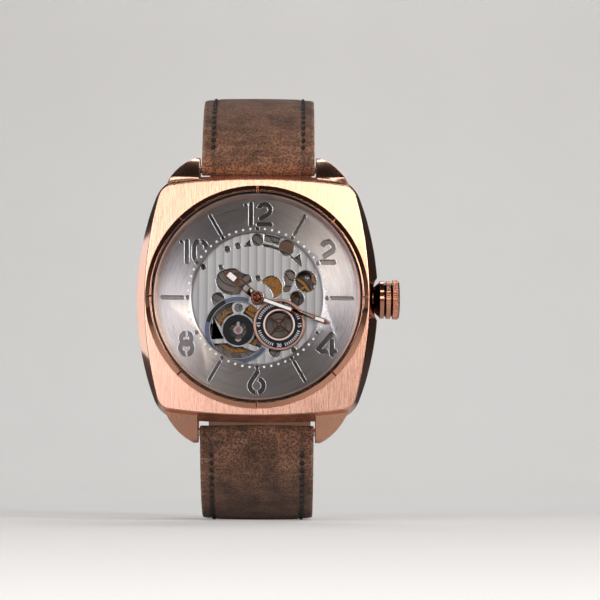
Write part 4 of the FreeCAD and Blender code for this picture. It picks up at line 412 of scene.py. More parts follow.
def nubuck():
    """Waxed nubuck: calf leather buffed on its grain side. Cloudy pull-up tones over a pebbled nap,
    rubbed paler along the edges. Painted shade lies along the stitch rows, in the pits of the grain,
    whose ridges are painted pale, and towards the lower end of the strap. Where the leather is pulled
    round the upper bar it turns tan, partly from pull-up and partly as a painted highlight on the front
    of the fold."""
    made, tree, sockets = new_material("brown_nubuck", Roughness=0.82, Sheen_Weight=0.08, Sheen_Roughness=0.5)
    where = place(tree)
    clouds = noise(tree, place(tree, (1, 1, 0.6)), 0.16, 4, 0.55)
    drag = noise(tree, place(tree, (0.5, 1, 1.6)), 0.5, 4, 0.6)
    cells = add(tree, "TexVoronoi", {"Vector": where, "Scale": 2.6, "Randomness": 1.0}, "Distance")
    nap = noise(tree, where, 7.0, 3, 0.7)
    tone = blend(tree, spread(tree, clouds, 0, 1, 0.38, 0.62), "#472C1D", "#704A35")
    tone = blend(tree, spread(tree, drag, 0, 0.6, 0.45, 0.75), tone, "#8E6850")
    height = add(tree, "SeparateXYZ", {0: where}, "Z")
    # tan round the upper bar: partly pull-up of stretched leather, partly a painted highlight kept to the front of
    # the fold
    front = spread(tree, add(tree, "SeparateXYZ", {0: where}, "Y"), 0.7, 0, 4.0, 8.0)
    tan_pull_up_and_painted_highlight = sums(tree, "MULTIPLY", spread(tree, height, 1, 0, 21.8, 24.5),
               spread(tree, height, 0, 1, 18.0, 20.0))
    tone = blend(tree, sums(tree, "MULTIPLY", tan_pull_up_and_painted_highlight, front), tone, "#8A4B24")
    side = sums(tree, "ABSOLUTE", add(tree, "SeparateXYZ", {0: where}, "X"))
    worn = sums(tree, "MULTIPLY", spread(tree, side, 0, 0.6, 9.45, 9.95),
                spread(tree, drag, 0.4, 1.0, 0.4, 0.6))
    tone = blend(tree, worn, tone, "#B38A70")
    # painted shade: a dark band along each stitch row, where the seam sinks into the leather
    row = spread(tree, sums(tree, "ABSOLUTE", sums(tree, "SUBTRACT", side, STITCH_ROW)), 0.35, 0, 0.2, 0.55)
    tone = blend(tree, row, tone, "#24140C")
    # painted shade and light on the grain: darker in the pits, paler on the ridges, strongest near the bars
    painted_grain_strength = spread(tree, sums(tree, "ABSOLUTE", height), 1.0, 0.35, 25.0, 36.0)
    painted_grain_and_low_shade = spread(tree, sums(tree, "MULTIPLY_ADD", nap, 0.8, cells), -1.0, 1.15, 0.45, 1.1)
    # painted shade: the strap's colour darkens towards its lower end
    painted_grain_and_low_shade = sums(tree, "MULTIPLY_ADD", painted_grain_and_low_shade, painted_grain_strength, spread(tree, height, 0.72, 0.95, -24, 24))
    painted_grain_and_low_shade = sums(tree, "MAXIMUM", painted_grain_and_low_shade, 0.2)
    drive(tree, sockets, Base_Color=blend(tree, 1.0, tone, add(tree, "CombineXYZ", {
        0: painted_grain_and_low_shade, 1: painted_grain_and_low_shade, 2: painted_grain_and_low_shade}), "MULTIPLY"),
        Roughness=spread(tree, nap, 0.7, 0.95, 0.3, 0.7))
    bump(tree, sockets, sums(tree, "MULTIPLY_ADD", nap, 0.7, cells), 0.3)
    return made


def waxed_thread():
    """Waxed linen thread, almost black, with a twist that catches the light."""
    made, tree, sockets = new_material("waxed_thread", Base_Color="#0E0907")
    twist = noise(tree, place(tree), 9, 2)
    drive(tree, sockets, Roughness=spread(tree, twist, 0.4, 0.6, 0.3, 0.7))
    bump(tree, sockets, twist, 0.04)
    return made


def lining_leather():
    """Smooth vegetable-tanned lining leather with fine pores."""
    made, tree, sockets = new_material("lining_leather")
    pores = noise(tree, place(tree), 5.0, 4, 0.7)
    drive(tree, sockets, Base_Color=blend(tree, noise(tree, place(tree), 0.3, 3), "#5C3F2C", "#7C5A42"),
          Roughness=spread(tree, pores, 0.5, 0.68, 0.3, 0.7))
    bump(tree, sockets, pores, 0.03)
    return made


FINISHES = {
    "rose_gold_brushed": brushed_rose_gold(), "rose_gold_polished": polished_rose_gold(),
    "sapphire": coated_sapphire(),
    "silver_dial": circular_brushed("brushed_silver_dial", "#BDB4B0", "#9C938F", 0.003),
    "silver_plate": striped_rhodium(),
    # painted shade: the base ring seen through the cut numerals gets a darker grey than the dial, for the shade in
    # their recesses
    "dial_base": circular_brushed("brushed_dial_base", "#7E7672", "#645C58", 0.002),
    "steel": polished_steel(), "bridge_nickel": frosted_nickel(), "black_lacquer": black_lacquer(),
    "blue_grey_lacquer": arc_lacquer(), "gilt_brass": gilt_brass(), "ruby": synthetic_ruby(),
    "lume": luminous_compound(), "brown_leather": nubuck(), "lining_leather": lining_leather(),
    "black_rubber": black_rubber(),
}
THREAD = waxed_thread()
INK = printed_white()

for node, piece in NODES.items():
    piece.data.materials.clear()
    piece.data.materials.append(FINISHES[SLOT_OF[node]])


# ---------------------------------------------------------------------------------------------
# Building pieces
# ---------------------------------------------------------------------------------------------
def finish_piece(name, mesh, finish, body, stands_for):
    """Puts a mesh in the scene as a piece that rides on a CAD body in place of some CAD nodes."""
    if finish is not None:
        mesh.materials.append(finish)
    made = bpy.data.objects.new(name, mesh)
    bpy.context.scene.collection.objects.link(made)
    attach(made, body)
    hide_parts(*stands_for)
    return made


def mesh_piece(name, shapes, finish, body, stands_for=(), crease=40.0):
    """One piece from several (points, faces) pairs; points are world millimetres."""
    points, faces, count = [], [], 0
    for some_points, some_faces in shapes:
        flat = np.asarray(some_points, float).reshape(-1, 3)
        points.append(flat)
        faces.append(np.asarray(some_faces) + count)
        count += len(flat)
    mesh = bpy.data.meshes.new(name)
    mesh.from_pydata((np.concatenate(points) * MM).tolist(), [],
                     [row for part in faces for row in part.tolist()])
    work = bmesh.new()
    work.from_mesh(mesh)
    bmesh.ops.remove_doubles(work, verts=work.verts, dist=1e-7)
    bmesh.ops.recalc_face_normals(work, faces=work.faces)
    work.to_mesh(mesh)
    work.free()
    mesh.shade_smooth()
    mesh.set_sharp_from_angle(angle=math.radians(crease))
    return finish_piece(name, mesh, finish, body, stands_for)


def refined(node, width, crease=32.0, steps=2):
    """A merged copy of a CAD node, shown in its place, whose edges are rounded by a small width."""
    mesh = NODES[node].data.copy()
    mesh.name = node + "_finished"
    work = bmesh.new()
    work.from_mesh(mesh)
    bmesh.ops.remove_doubles(work, verts=work.verts, dist=CAD_MERGE)
    bmesh.ops.dissolve_limit(work, angle_limit=math.radians(0.2), verts=work.verts, edges=work.edges)
    work.to_mesh(mesh)
    work.free()
    if "custom_normal" in mesh.attributes:
        mesh.attributes.remove(mesh.attributes["custom_normal"])
    mesh.shade_smooth()
    mesh.set_sharp_from_angle(angle=math.radians(crease))
    made = finish_piece(node + "_finished", mesh, None, BODY_OF[node], (node,))
    edges = made.modifiers.new("edges", "BEVEL")
    edges.width, edges.segments = width * MM, steps
    edges.limit_method, edges.angle_limit = "ANGLE", math.radians(crease)
    edges.use_clamp_overlap, edges.harden_normals = False, True
    return made


def loop_faces(stations, around, closed=False):
    """Quads between successive rings of points, each ring closed on itself."""
    i = np.arange(stations if closed else stations - 1)[:, None]
    j = np.arange(around)[None]
    ahead, beside = (i + 1) % stations, (j + 1) % around
    return np.stack(np.broadcast_arrays(i * around + j, i * around + beside, ahead * around + beside,
                                        ahead * around + j), -1)


# ---------------------------------------------------------------------------------------------
# Metal pieces with rounded edges
# ---------------------------------------------------------------------------------------------
EDGE_WIDTHS = {
    "case_middle": 0.16, "bezel": 0.03, "crown": 0.04, "rehaut_ring": 0.05, "dial_ring": 0.04,
    "skeleton_plate": 0.05, "balance_window_bridge": 0.07, "aperture_arc": 0.03, "balance_cover_disc": 0.05,
    "seconds_dial_ring": 0.06, "seconds_track": 0.03, "seconds_indicator": 0.04, "minute_hand": 0.04,
    "hour_hand": 0.04, "minute_hand_lume": 0.03, "hour_hand_lume": 0.03, "main_plate": 0.04,
    "case_back_ring": 0.1, "rotor_weight": 0.08, "barrel_bridge": 0.08, "train_bridge": 0.08,
    "balance_cock": 0.08, "buckle_frame": 0.25, "buckle_tongue": 0.15,
}
REFINED = {node: refined(node, width) for node, width in EDGE_WIDTHS.items()}
REFINED["crown"].data.materials[0] = knurled_rose_gold()
CUT, TURNED = cut_rose_gold(), turned_rose_gold()
for node, finish in (("hour_hand", CUT), ("minute_hand", CUT), ("seconds_indicator", TURNED),
                     ("seconds_dial_ring", TURNED)):
    REFINED[node].data.materials[0] = finish
REFINED["rehaut_ring"].data.materials[0] = satin_rose_gold()


def polish_flanks():
    """Gives the outer faces of the case that look sideways the polished finish; the rest stays brushed."""
    mesh = REFINED["case_middle"].data
    mesh.materials.append(FINISHES["rose_gold_polished"])
    normals, centres = np.empty(len(mesh.polygons) * 3), np.empty(len(mesh.polygons) * 3)
    mesh.polygons.foreach_get("normal", normals)
    mesh.polygons.foreach_get("center", centres)
    least_sideways, past_bezel = 0.5, 19.6 * MM
    sideways = np.abs(normals.reshape(-1, 3)[:, 0]) > least_sideways
    outside = np.hypot(*centres.reshape(-1, 3)[:, [0, 2]].T) > past_bezel
    mesh.polygons.foreach_set("material_index", (sideways & outside).astype(np.int32))


polish_flanks()


def opening_beads(node, limits):
    """Raised, polished beads along the front edges of a flat piece, between two distances from the dial's
    axis. In section each bead is an arch that starts at the edge, rises 0.03 mm and ends 0.1 mm inside."""
    work = bmesh.new()
    work.from_mesh(NODES[node].data)
    bmesh.ops.remove_doubles(work, verts=work.verts, dist=CAD_MERGE)
    work.faces.ensure_lookup_table()
    front = min(vert.co.y for vert in work.verts)
    flat = [face for face in work.faces
            if face.normal.y < -0.999 and abs(face.calc_center_median().y - front) < 1e-5]
    members = set(flat)
    edges = [(loop.vert.index, loop.link_loop_next.vert.index) for face in flat for loop in face.loops
             if members.isdisjoint(set(loop.edge.link_faces) - {face})]
    places = np.array([(vert.co.x, vert.co.z) for vert in work.verts]) / MM
    work.free()
    edges = np.array([pair for pair in edges if limits[0] < np.hypot(*places[pair[0]]) < limits[1]])
    way = places[edges[:, 1]] - places[edges[:, 0]]
    way /= np.linalg.norm(way, axis=1)[:, None]
    inwards = np.zeros_like(places)
    for column in (0, 1):
        np.add.at(inwards, edges[:, column], np.stack([-way[:, 1], way[:, 0]], -1))
    inwards *= 2 / np.maximum((inwards ** 2).sum(1), 1.0)[:, None]
    used, numbered = np.unique(edges, return_inverse=True)
    numbered = numbered.reshape(-1, 2)
    arch = np.array([(-0.02, -0.01), (-0.01, 0.02), (0.04, 0.03), (0.09, 0.02), (0.1, -0.01)])
    flat_places = places[used][:, None] + inwards[used][:, None] * arch[None, :, :1]
    depth = np.broadcast_to(front / MM - arch[None, :, 1], flat_places.shape[:2])
    points = np.stack([flat_places[..., 0], depth, flat_places[..., 1]], -1)
    step, count = np.arange(len(arch)), len(arch)
    after = (step + 1) % count
    first, last = numbered[:, :1] * count, numbered[:, 1:] * count
    faces = np.stack([first + step, last + step, last + after, first + after], -1).reshape(-1, 4)
    mesh_piece(node + "_beads", [(points, faces)], FINISHES["steel"], BODY_OF[node],
               crease=60)


def gasket_ring():
    """The crystal's gasket: a square-section ring about the dial's axis, just clear of both walls."""
    low, high = corners("crystal_gasket")
    outer, inner = high[0] - 0.04, corners("crystal")[1][0] + 0.02
    turn = np.radians(np.arange(0, 360, 1.25))[:, None]
    radius = np.array([inner, outer, outer, inner])[None]
    level = np.array([low[1], low[1], high[1], high[1]])[None] + 0 * turn
    points = np.stack([radius * np.cos(turn), level, radius * np.sin(turn)], -1)
    faces = loop_faces(len(turn), 4, closed=True).reshape(-1, 4)
    mesh_piece("crystal_gasket_ring", [(points, faces)], FINISHES[SLOT_OF["crystal_gasket"]],
               BODY_OF["crystal_gasket"], ("crystal_gasket",))


gasket_ring()
opening_beads("dial_ring", (12.0, 17.5))
opening_beads("skeleton_plate", (0.0, 11.2))


# ---------------------------------------------------------------------------------------------
# Strap
# ---------------------------------------------------------------------------------------------
HALF_STRAP = corners("strap_12_leather")[1][0]
BAR_RADIUS = (corners("lug_spring_bars")[1][1] - corners("lug_spring_bars")[0][1]) / 2
BAR = (corners("lug_spring_bars")[1][2] - BAR_RADIUS, -middle("lug_spring_bars")[1])
BUCKLE_BAR = (middle("buckle_bar")[2], -middle("buckle_bar")[1])
LEATHER, LINING, GLUE = 1.2, 1.0, 0.05
OUTER, INNER, EYE = LEATHER + GLUE, -LINING - GLUE, BAR_RADIUS + 0.05
SLOPE, BACK_BEND, RAMP_BEND, TAIL_BEND = 15.0, 22.0, 14.0, 40.0
CREST = corners("strap_12_leather")[1][2] - OUTER
SHOULDER = (CREST - BAR[0]) / (1 - math.sin(math.radians(SLOPE)))
SIDE_RUN = BAR[1] - SHOULDER * math.cos(math.radians(SLOPE)) - BACK_BEND - BUCKLE_BAR[1]
FLAT_START = CREST - BACK_BEND
OVERLAP = BUCKLE_BAR[1] + corners("strap_6_leather")[1][1] - OUTER
RAMP_ANGLE = math.degrees(math.acos(1 - OVERLAP / (2 * RAMP_BEND)))
RAMP_LENGTH = 2 * RAMP_BEND * math.sin(math.radians(RAMP_ANGLE))
RAMP_END = BUCKLE_BAR[0] - 0.4
STITCH_PITCH, STITCH_HALF, STITCH_THICK, STITCH_SLANT = 1.5, 0.52, 0.35, 0.12
EDGE_ROUND, FADE, EYE_TRIM = 0.42, 1.2, 0.1
PUNCH_PITCH, PUNCH_RADIUS, FIRST_PUNCH = 6.5, 0.9, -4.5


def route(start, heading, runs, step):
    """Rows of distance, y, z and heading along a side view of straight runs (length, 0, 0) and bends
    (0, radius, degrees), where positive degrees turn left."""
    (y, z), turn, gone, rows = start, math.radians(heading), 0.0, []
    for length, radius, degrees in runs:
        angle = math.radians(degrees)
        span = length or radius * abs(angle)
        share = np.linspace(0, 1, max(2, round(span / step)), endpoint=False)
        now, side = turn + angle * share, math.copysign(radius, angle)
        if radius:
            rows.append(np.stack([gone + span * share, y + side * (np.sin(now) - math.sin(turn)),
                                  z - side * (np.cos(now) - math.cos(turn)), now]))
            y += side * (math.sin(turn + angle) - math.sin(turn))
            z -= side * (math.cos(turn + angle) - math.cos(turn))
        else:
            rows.append(np.stack([gone + span * share, y + length * share * math.cos(turn),
                                  z + length * share * math.sin(turn), now]))
            y, z = y + length * math.cos(turn), z + length * math.sin(turn)
        gone, turn = gone + span, turn + angle
    rows.append(np.array([[gone], [y], [z], [turn]]))
    return np.concatenate(rows, 1)


SIDE = [(0, SHOULDER, 60 + SLOPE), (SIDE_RUN, 0, 0), (0, BACK_BEND, 90)]
UPPER = route(BAR, -SLOPE, [(run, radius, -turn) for run, radius, turn in SIDE]
              + [(FLAT_START - BUCKLE_BAR[0], 0, 0)], 0.5)
LOWER = route((-BAR[0], BAR[1]), 180 + SLOPE, SIDE + [
    (FLAT_START + RAMP_END - RAMP_LENGTH, 0, 0), (0, RAMP_BEND, -RAMP_ANGLE), (0, RAMP_BEND, RAMP_ANGLE),
    (FLAT_START - RAMP_END, 0, 0), (0, BACK_BEND + OVERLAP, TAIL_BEND)], 0.32)
UPPER_END, LOWER_END = UPPER[0, -1], LOWER[0, -1]


def stretch_of(line, sense, start, end, outer, inner):
    """Stations (distance, y, z, outward angle, outer offset, inner offset) for part of a route; sense is
    1 where the outer side of the strap is on the left."""
    kept = line[0][(line[0] > start + 0.02) & (line[0] < end - 0.02)]
    places = np.concatenate([[start], kept, [end]])
    distance, y, z, heading = (np.interp(places, line[0], row) for row in line)
    still = np.ones(len(places))
    return np.stack([distance, y, z, heading + sense * math.pi / 2, outer * still, inner * still])


def fold(bar, normals):
    """Stations of leather that turns round a bar."""
    still = np.ones(len(normals))
    return np.stack([0 * still, bar[0] * still, bar[1] * still, normals, OUTER * still, EYE * still])


def section(x_low, x_high):
    """Places across the strap between two edges, closer together at the stitch rows and punched holes,
    and the share of the half thickness there: an edge is a quarter circle."""
    side = np.concatenate([np.arange(0, 1.6, 0.3), np.arange(2.0, 7.2, 0.65),
                           np.arange(7.2, 8.6, 0.16), [9.1]])
    columns = np.unique(np.round(np.concatenate([-side, side]), 6))
    columns = columns[(columns > x_low + EDGE_ROUND + 0.05) & (columns < x_high - EDGE_ROUND - 0.05)]
    quarter = np.radians(np.linspace(0, 90, 5))
    edge = EDGE_ROUND * (1 - np.cos(quarter))
    return (np.concatenate([x_low + edge, columns, x_high - edge[::-1]]),
            np.concatenate([np.sin(quarter), np.ones(len(columns)), np.sin(quarter)[::-1]]))


def flat_relief(distance, x):
    """No relief."""
    return 0.0 * distance * x


def relief_between(start, end):
    """Depth of the outer side: a sunken row under each seam, a thinned edge outside it and a slight
    swell between the seams; the rows fade out near both ends."""
    def depth(distance, x):
        side = np.abs(x)
        row = 0.34 * np.exp(-((side - STITCH_ROW) / 0.4) ** 2)
        thin = 0.25 * np.clip((side - STITCH_ROW) / 1.6, 0, 1)
        fade = np.clip((distance - start) / FADE, 0, 1) * np.clip((end - distance) / FADE, 0, 1)
        return (row + thin) * fade + 0.12 * np.clip(side / STITCH_ROW, 0, 1) ** 2
    return depth


def band(stations, sense, x_low, x_high, relief=flat_relief, holes=(), taper=None):
    """A flat band along stations: at each place across it, its skin lies at the outer and inner offsets
    along the outward angle. Holes are round-ended openings (distance, half length, half width).

    Returns (points, faces) pairs for the skin, its ends and the walls of the holes.
    """
    distance, y, z, outward, outer, inner = stations
    x, lift = section(x_low, x_high)
    count, length = len(x), len(distance)
    core, half = (outer + inner)[:, None] / 2, (outer - inner)[:, None] / 2
    top = core + half * lift - relief(distance[:, None], x[None]) * lift
    low = core - half * lift
    across = x * (np.ones(length) if taper is None else taper(distance))[:, None]
    along = np.zeros_like(across)
    ring = np.concatenate([np.arange(count), np.arange(count - 2, 0, -1)])
    faces = loop_faces(length, len(ring))
    kept = np.ones(faces.shape[:2], bool)
    rims = []
    for place_at, long_half, wide_half in holes:
        rows = np.flatnonzero(np.abs(distance - place_at) < long_half - 0.05)
        columns = np.flatnonzero(np.abs(x) < wide_half - 0.05)
        first, last, left, right = rows[0], rows[-1], columns[0], columns[-1]
        kept[first:last, left:right] = False
        kept[first:last, 2 * count - 2 - right:2 * count - 2 - left] = False
        rim = (np.concatenate([np.arange(first, last), np.full(right - left, last),
                               np.arange(last, first, -1), np.full(right - left, first)]),
               np.concatenate([np.full(last - first, left), np.arange(left, right),
                               np.full(last - first, right), np.arange(right, left, -1)]))
        ahead = distance[rim[0]] - place_at
        beyond = ahead - np.clip(ahead, wide_half - long_half, long_half - wide_half)
        size = np.hypot(beyond, across[rim]) / wide_half
        along[rim], across[rim] = beyond / size - beyond, across[rim] / size
        rims.append(rim)
    heading = outward - sense * math.pi / 2

    def skin(offset):
        side_y = y[:, None] + np.cos(outward)[:, None] * offset + np.cos(heading)[:, None] * along
        side_z = z[:, None] + np.sin(outward)[:, None] * offset + np.sin(heading)[:, None] * along
        return np.stack([across, -side_z, side_y], -1)

    upper, lower = skin(top), skin(low)
    whole = np.where((np.arange(len(ring)) < count)[None, :, None], upper[:, ring], lower[:, ring])
    step = np.arange(count - 1)
    end = np.stack([step, step + 1, count + step + 1, count + step], -1)
    shapes = [(whole, faces[kept])]
    shapes += [(np.concatenate([upper[row], lower[row]]), end) for row in (0, length - 1)]
    shapes += [(np.stack([upper[rim], lower[rim]]), loop_faces(2, len(rim[0])).reshape(-1, 4))
               for rim in rims]
    return shapes


def seams(line, sense, start, end):
    """Stitches along both rows: each is a spindle of thread whose ends dip into the leather."""
    middles = np.arange(start, end, STITCH_PITCH)[:, None, None]
    rings, sides = 7, 6
    share = np.linspace(-1, 1, rings)[None, :, None]
    around = np.radians(np.arange(0, 360, 360 // sides))[None, None]
    thick = STITCH_THICK * np.sqrt(1 - share ** 4)
    shapes = []
    for row in (-STITCH_ROW, STITCH_ROW):
        places = middles + STITCH_HALF * share
        distance, y, z, heading = (np.interp(places, line[0], values) for values in line)
        outward = heading + sense * math.pi / 2
        offset = OUTER - 0.3 - 0.3 * share ** 2 + thick * np.sin(around)
        x = row + STITCH_SLANT * share + thick * np.cos(around) + 0 * y
        points = np.stack(np.broadcast_arrays(x, -(z + np.sin(outward) * offset),
                                              y + np.cos(outward) * offset), -1)
        faces = (loop_faces(rings, sides).reshape(1, -1, 4)
                 + rings * sides * np.arange(len(middles))[:, None, None])
        shapes.append((points, faces.reshape(-1, 4)))
    return shapes


NOTCH = corners("buckle_tongue")[1][0] + 0.3
NOTCH_START = UPPER_END - 2.2
SEAM_START = 3.3
TIP_LENGTH = 7
TURN = np.radians(np.linspace(175, 0, 24, endpoint=False))


def eye_wall(away):
    """Inner side of leather beside a bar, at a distance along the strap: round the eye, then flat."""
    return np.sqrt(np.clip(EYE ** 2 - away ** 2, GLUE ** 2, None))


def upper_half():
    """The 12 o'clock half: leather folded round the lug bar and, beside the tongue, the buckle bar."""
    rise = relief_between(SEAM_START - FADE, UPPER_END - 5)
    nose = fold(BAR, UPPER[3, 0] + math.pi / 2 + TURN)
    main = np.concatenate([nose, stretch_of(UPPER, 1, 0, NOTCH_START, OUTER, GLUE)], 1)
    main[5] = np.where(np.arange(main.shape[1]) < len(TURN), EYE, eye_wall(main[0]))
    end = stretch_of(UPPER, 1, NOTCH_START, UPPER_END, OUTER, GLUE)
    end[5] = eye_wall(end[0] - UPPER_END)
    end = np.concatenate([end, fold(BUCKLE_BAR, UPPER[3, -1] + math.pi / 2 - TURN[::-1])], 1)
    leather = band(main, 1, -HALF_STRAP, HALF_STRAP, rise)
    lining = band(stretch_of(UPPER, 1, OUTER + EYE_TRIM, NOTCH_START, -GLUE, INNER), 1,
                  -HALF_STRAP, HALF_STRAP)
    for low, high in ((-HALF_STRAP, -NOTCH), (NOTCH, HALF_STRAP)):
        leather += band(end, 1, low, high, rise)
        lining += band(stretch_of(UPPER, 1, NOTCH_START, UPPER_END - OUTER - EYE_TRIM, -GLUE, INNER), 1,
                       low, high)
    return leather, lining


def lower_distance(y):
    """Distance along the 6 o'clock half where its far run reaches a height y."""
    far = LOWER[0] > LOWER_END / 2
    return float(np.interp(y, LOWER[1, far], LOWER[0, far]))


def lower_half():
    """The 6 o'clock half with its slot for the tongue, three spare holes and a rounded tip."""
    slot = [lower_distance(BUCKLE_BAR[0] + shift) for shift in (-7.4, 0.3)]
    holes = [(sum(slot) / 2, (slot[1] - slot[0]) / 2, NOTCH - 0.1)]
    holes += [(lower_distance(BUCKLE_BAR[0] + FIRST_PUNCH + PUNCH_PITCH * index), PUNCH_RADIUS, PUNCH_RADIUS)
              for index in (1, 2, 3)]

    def taper(distance):
        return np.sqrt(1 - 0.93 * np.clip((distance - LOWER_END + TIP_LENGTH) / TIP_LENGTH, 0, 1) ** 2.4)

    nose = fold((-BAR[0], BAR[1]), LOWER[3, 0] - math.pi / 2 - TURN)
    main = np.concatenate([nose, stretch_of(LOWER, -1, 0, LOWER_END, OUTER, GLUE)], 1)
    main[5] = np.where(np.arange(main.shape[1]) < len(TURN), EYE, eye_wall(main[0]))
    leather = band(main, -1, -HALF_STRAP, HALF_STRAP,
                   relief_between(SEAM_START - FADE, LOWER_END - TIP_LENGTH), holes, taper)
    lining = band(stretch_of(LOWER, -1, OUTER + EYE_TRIM, LOWER_END, -GLUE, INNER), -1,
                  -HALF_STRAP, HALF_STRAP, holes=holes, taper=taper)
    return leather, lining


for name, (leather, lining), line, sense, stop in (
        ("strap_12", upper_half(), UPPER, 1, UPPER_END - 6),
        ("strap_6", lower_half(), LOWER, -1, LOWER_END - 8)):
    mesh_piece(name + "_nubuck", leather, FINISHES["brown_leather"], "case",
               (name + "_leather",))
    mesh_piece(name + "_inside", lining, FINISHES["lining_leather"], "case",
               (name + "_lining",))
    mesh_piece(name + "_stitching", seams(line, sense, SEAM_START + 0.6, stop), THREAD,
               "case")


def keeper_band(node):
    """A leather loop: a rounded strip section carried round a rectangle with round corners."""
    low, high = corners(node)
    centre, (wide, deep, half_width) = (low + high) / 2, (high - low) / 2
    corner, wall, each = 1.5, 1.1, 7
    turn = np.radians(np.concatenate([np.linspace(start, start + 90, each) for start in (0, 90, 180, 270)]))
    corner_x = np.repeat([1, -1, -1, 1], each) * (wide - corner)
    corner_y = np.repeat([1, 1, -1, -1], each) * (deep - corner)
    around = np.radians(np.arange(0, 360, 20))
    out = wall / 2 * np.sign(np.sin(around)) * np.abs(np.sin(around)) ** 0.6
    side = half_width * np.sign(np.cos(around)) * np.abs(np.cos(around)) ** 0.35
    reach = (corner - wall / 2 + out)[None]
    points = np.stack(np.broadcast_arrays(centre[0] + corner_x[:, None] + reach * np.cos(turn)[:, None],
                                          centre[1] + corner_y[:, None] + reach * np.sin(turn)[:, None],
                                          centre[2] + side[None]), -1)
    return [(points, loop_faces(len(turn), len(around), closed=True).reshape(-1, 4))]


for node in ("fixed_keeper", "free_keeper"):
    mesh_piece(node + "_leather", keeper_band(node), FINISHES["brown_leather"],
               BODY_OF[node], (node,))


# ---------------------------------------------------------------------------------------------
# Printing on the seconds track
# ---------------------------------------------------------------------------------------------
def printed_strokes(lines, width, level):
    """Each straight line (x1, z1, x2, z2) as a thin block of ink standing on a level of the dial."""
    lines = np.asarray(lines, float)
    start, end = lines[:, :2], lines[:, 2:]
    way = (end - start) / np.linalg.norm(end - start, axis=1)[:, None]
    beside = np.stack([-way[:, 1], way[:, 0]], -1) * width / 2
    flat = np.stack([start - beside, end - beside, end + beside, start + beside], 1)
    levels = -np.array([level - 0.005, level + 0.02])
    points = np.stack(np.broadcast_arrays(flat[:, None, :, 0], levels[None, :, None],
                                          flat[:, None, :, 1]), -1)
    box = np.array([[0, 1, 2, 3], [7, 6, 5, 4], [0, 4, 5, 1], [1, 5, 6, 2], [2, 6, 7, 3], [3, 7, 4, 0]])
    return points, (box[None] + 8 * np.arange(len(lines))[:, None, None]).reshape(-1, 4)


def arc_points(x, y, radius_x, radius_y, start, end):
    """Points along part of an ellipse, in degrees."""
    turn = np.radians(np.linspace(start, end, 9))
    return list(zip(x + radius_x * np.cos(turn), y + radius_y * np.sin(turn)))


FIGURES = {
    "0": [arc_points(0, 0, 0.26, 0.5, 0, 360)],
    "1": [[(-0.14, 0.3), (0.06, 0.5), (0.06, -0.5)]],
    "3": [arc_points(0, 0.25, 0.24, 0.25, 150, -80) + arc_points(0, -0.25, 0.27, 0.25, 80, -150)],
    "4": [[(0.14, -0.5), (0.14, 0.5), (-0.28, -0.2), (0.3, -0.2)]],
    "5": [[(0.24, 0.5), (-0.18, 0.5), (-0.22, 0.08)] + arc_points(0, -0.18, 0.26, 0.32, 110, -140)],
    "6": [arc_points(0, -0.2, 0.26, 0.3, 0, 360), arc_points(0.3, -0.2, 0.56, 0.7, 180, 105)],
}


def seconds_printing():
    """Sixty ticks round the seconds track, broken at each quarter by an upright or turned number."""
    centre, level = middle("seconds_track")[[0, 2]], -corners("seconds_track")[0][1]
    angles = np.arange(0, 360, 6)
    turned = np.minimum(angles % 90, 90 - angles % 90)
    angles = np.radians(angles[turned > 12])
    ray = np.stack([np.sin(angles), np.cos(angles)], -1)
    tick_inner, tick_outer, number_place, number_height, number_pitch = 3.34, 3.86, 3.61, 0.56, 0.46
    ticks = np.concatenate([centre + tick_inner * ray, centre + tick_outer * ray], 1)
    shapes = [printed_strokes(ticks, 0.13, level)]
    strokes = []
    for quarter, figures in enumerate(("60", "15", "30", "45")):
        turn = math.radians(90 * quarter + (180 if quarter == 2 else 0))
        outwards = np.array([math.sin(math.radians(90 * quarter)), math.cos(math.radians(90 * quarter))])
        right, up = np.array([math.cos(turn), -math.sin(turn)]), np.array([math.sin(turn), math.cos(turn)])
        for index, figure in enumerate(figures):
            for line in FIGURES[figure]:
                line = np.array(line) * number_height
                line = (centre + number_place * outwards
                        + (line[:, :1] + number_pitch * (index - 0.5)) * right + line[:, 1:] * up)
                strokes.append(np.concatenate([line[:-1], line[1:]], 1))
    strokes = np.concatenate(strokes)
    strokes = strokes[np.linalg.norm(strokes[:, 2:] - strokes[:, :2], axis=1) > 1e-6]
    shapes.append(printed_strokes(strokes, 0.11, level))
    return shapes


mesh_piece("seconds_printing", seconds_printing(), INK, BODY_OF["seconds_track"])


# ---------------------------------------------------------------------------------------------
# Stage, lights and camera
# ---------------------------------------------------------------------------------------------
FLOOR_LEVEL = cad_box[0].z / MM


def paper(name):
    """Pale matt paper that the camera sees a little lighter; mirrors see it bright close to the watch
    and dim further off, as if black card stood round a small lit patch."""
    made, tree, sockets = new_material(name, Roughness=0.9, Emission_Color="#F2F0EE")
    rays = add(tree, "LightPath", {}, "Is Glossy Ray")
    away = add(tree, "VectorMath", {0: place(tree)}, "Value", operation="LENGTH")
    dim = blend(tree, spread(tree, away, 0, 1, 90, 260), "#E4E1DE", "#4A4542")
    grain = noise(tree, place(tree), 0.02, 2)
    drive(tree, sockets, Base_Color=blend(tree, rays, blend(tree, grain, "#E2E0DE", "#E8E6E4"), dim),
          Emission_Strength=sums(tree, "MULTIPLY", add(tree, "LightPath", {}, "Is Camera Ray"), 0.22))
    return made


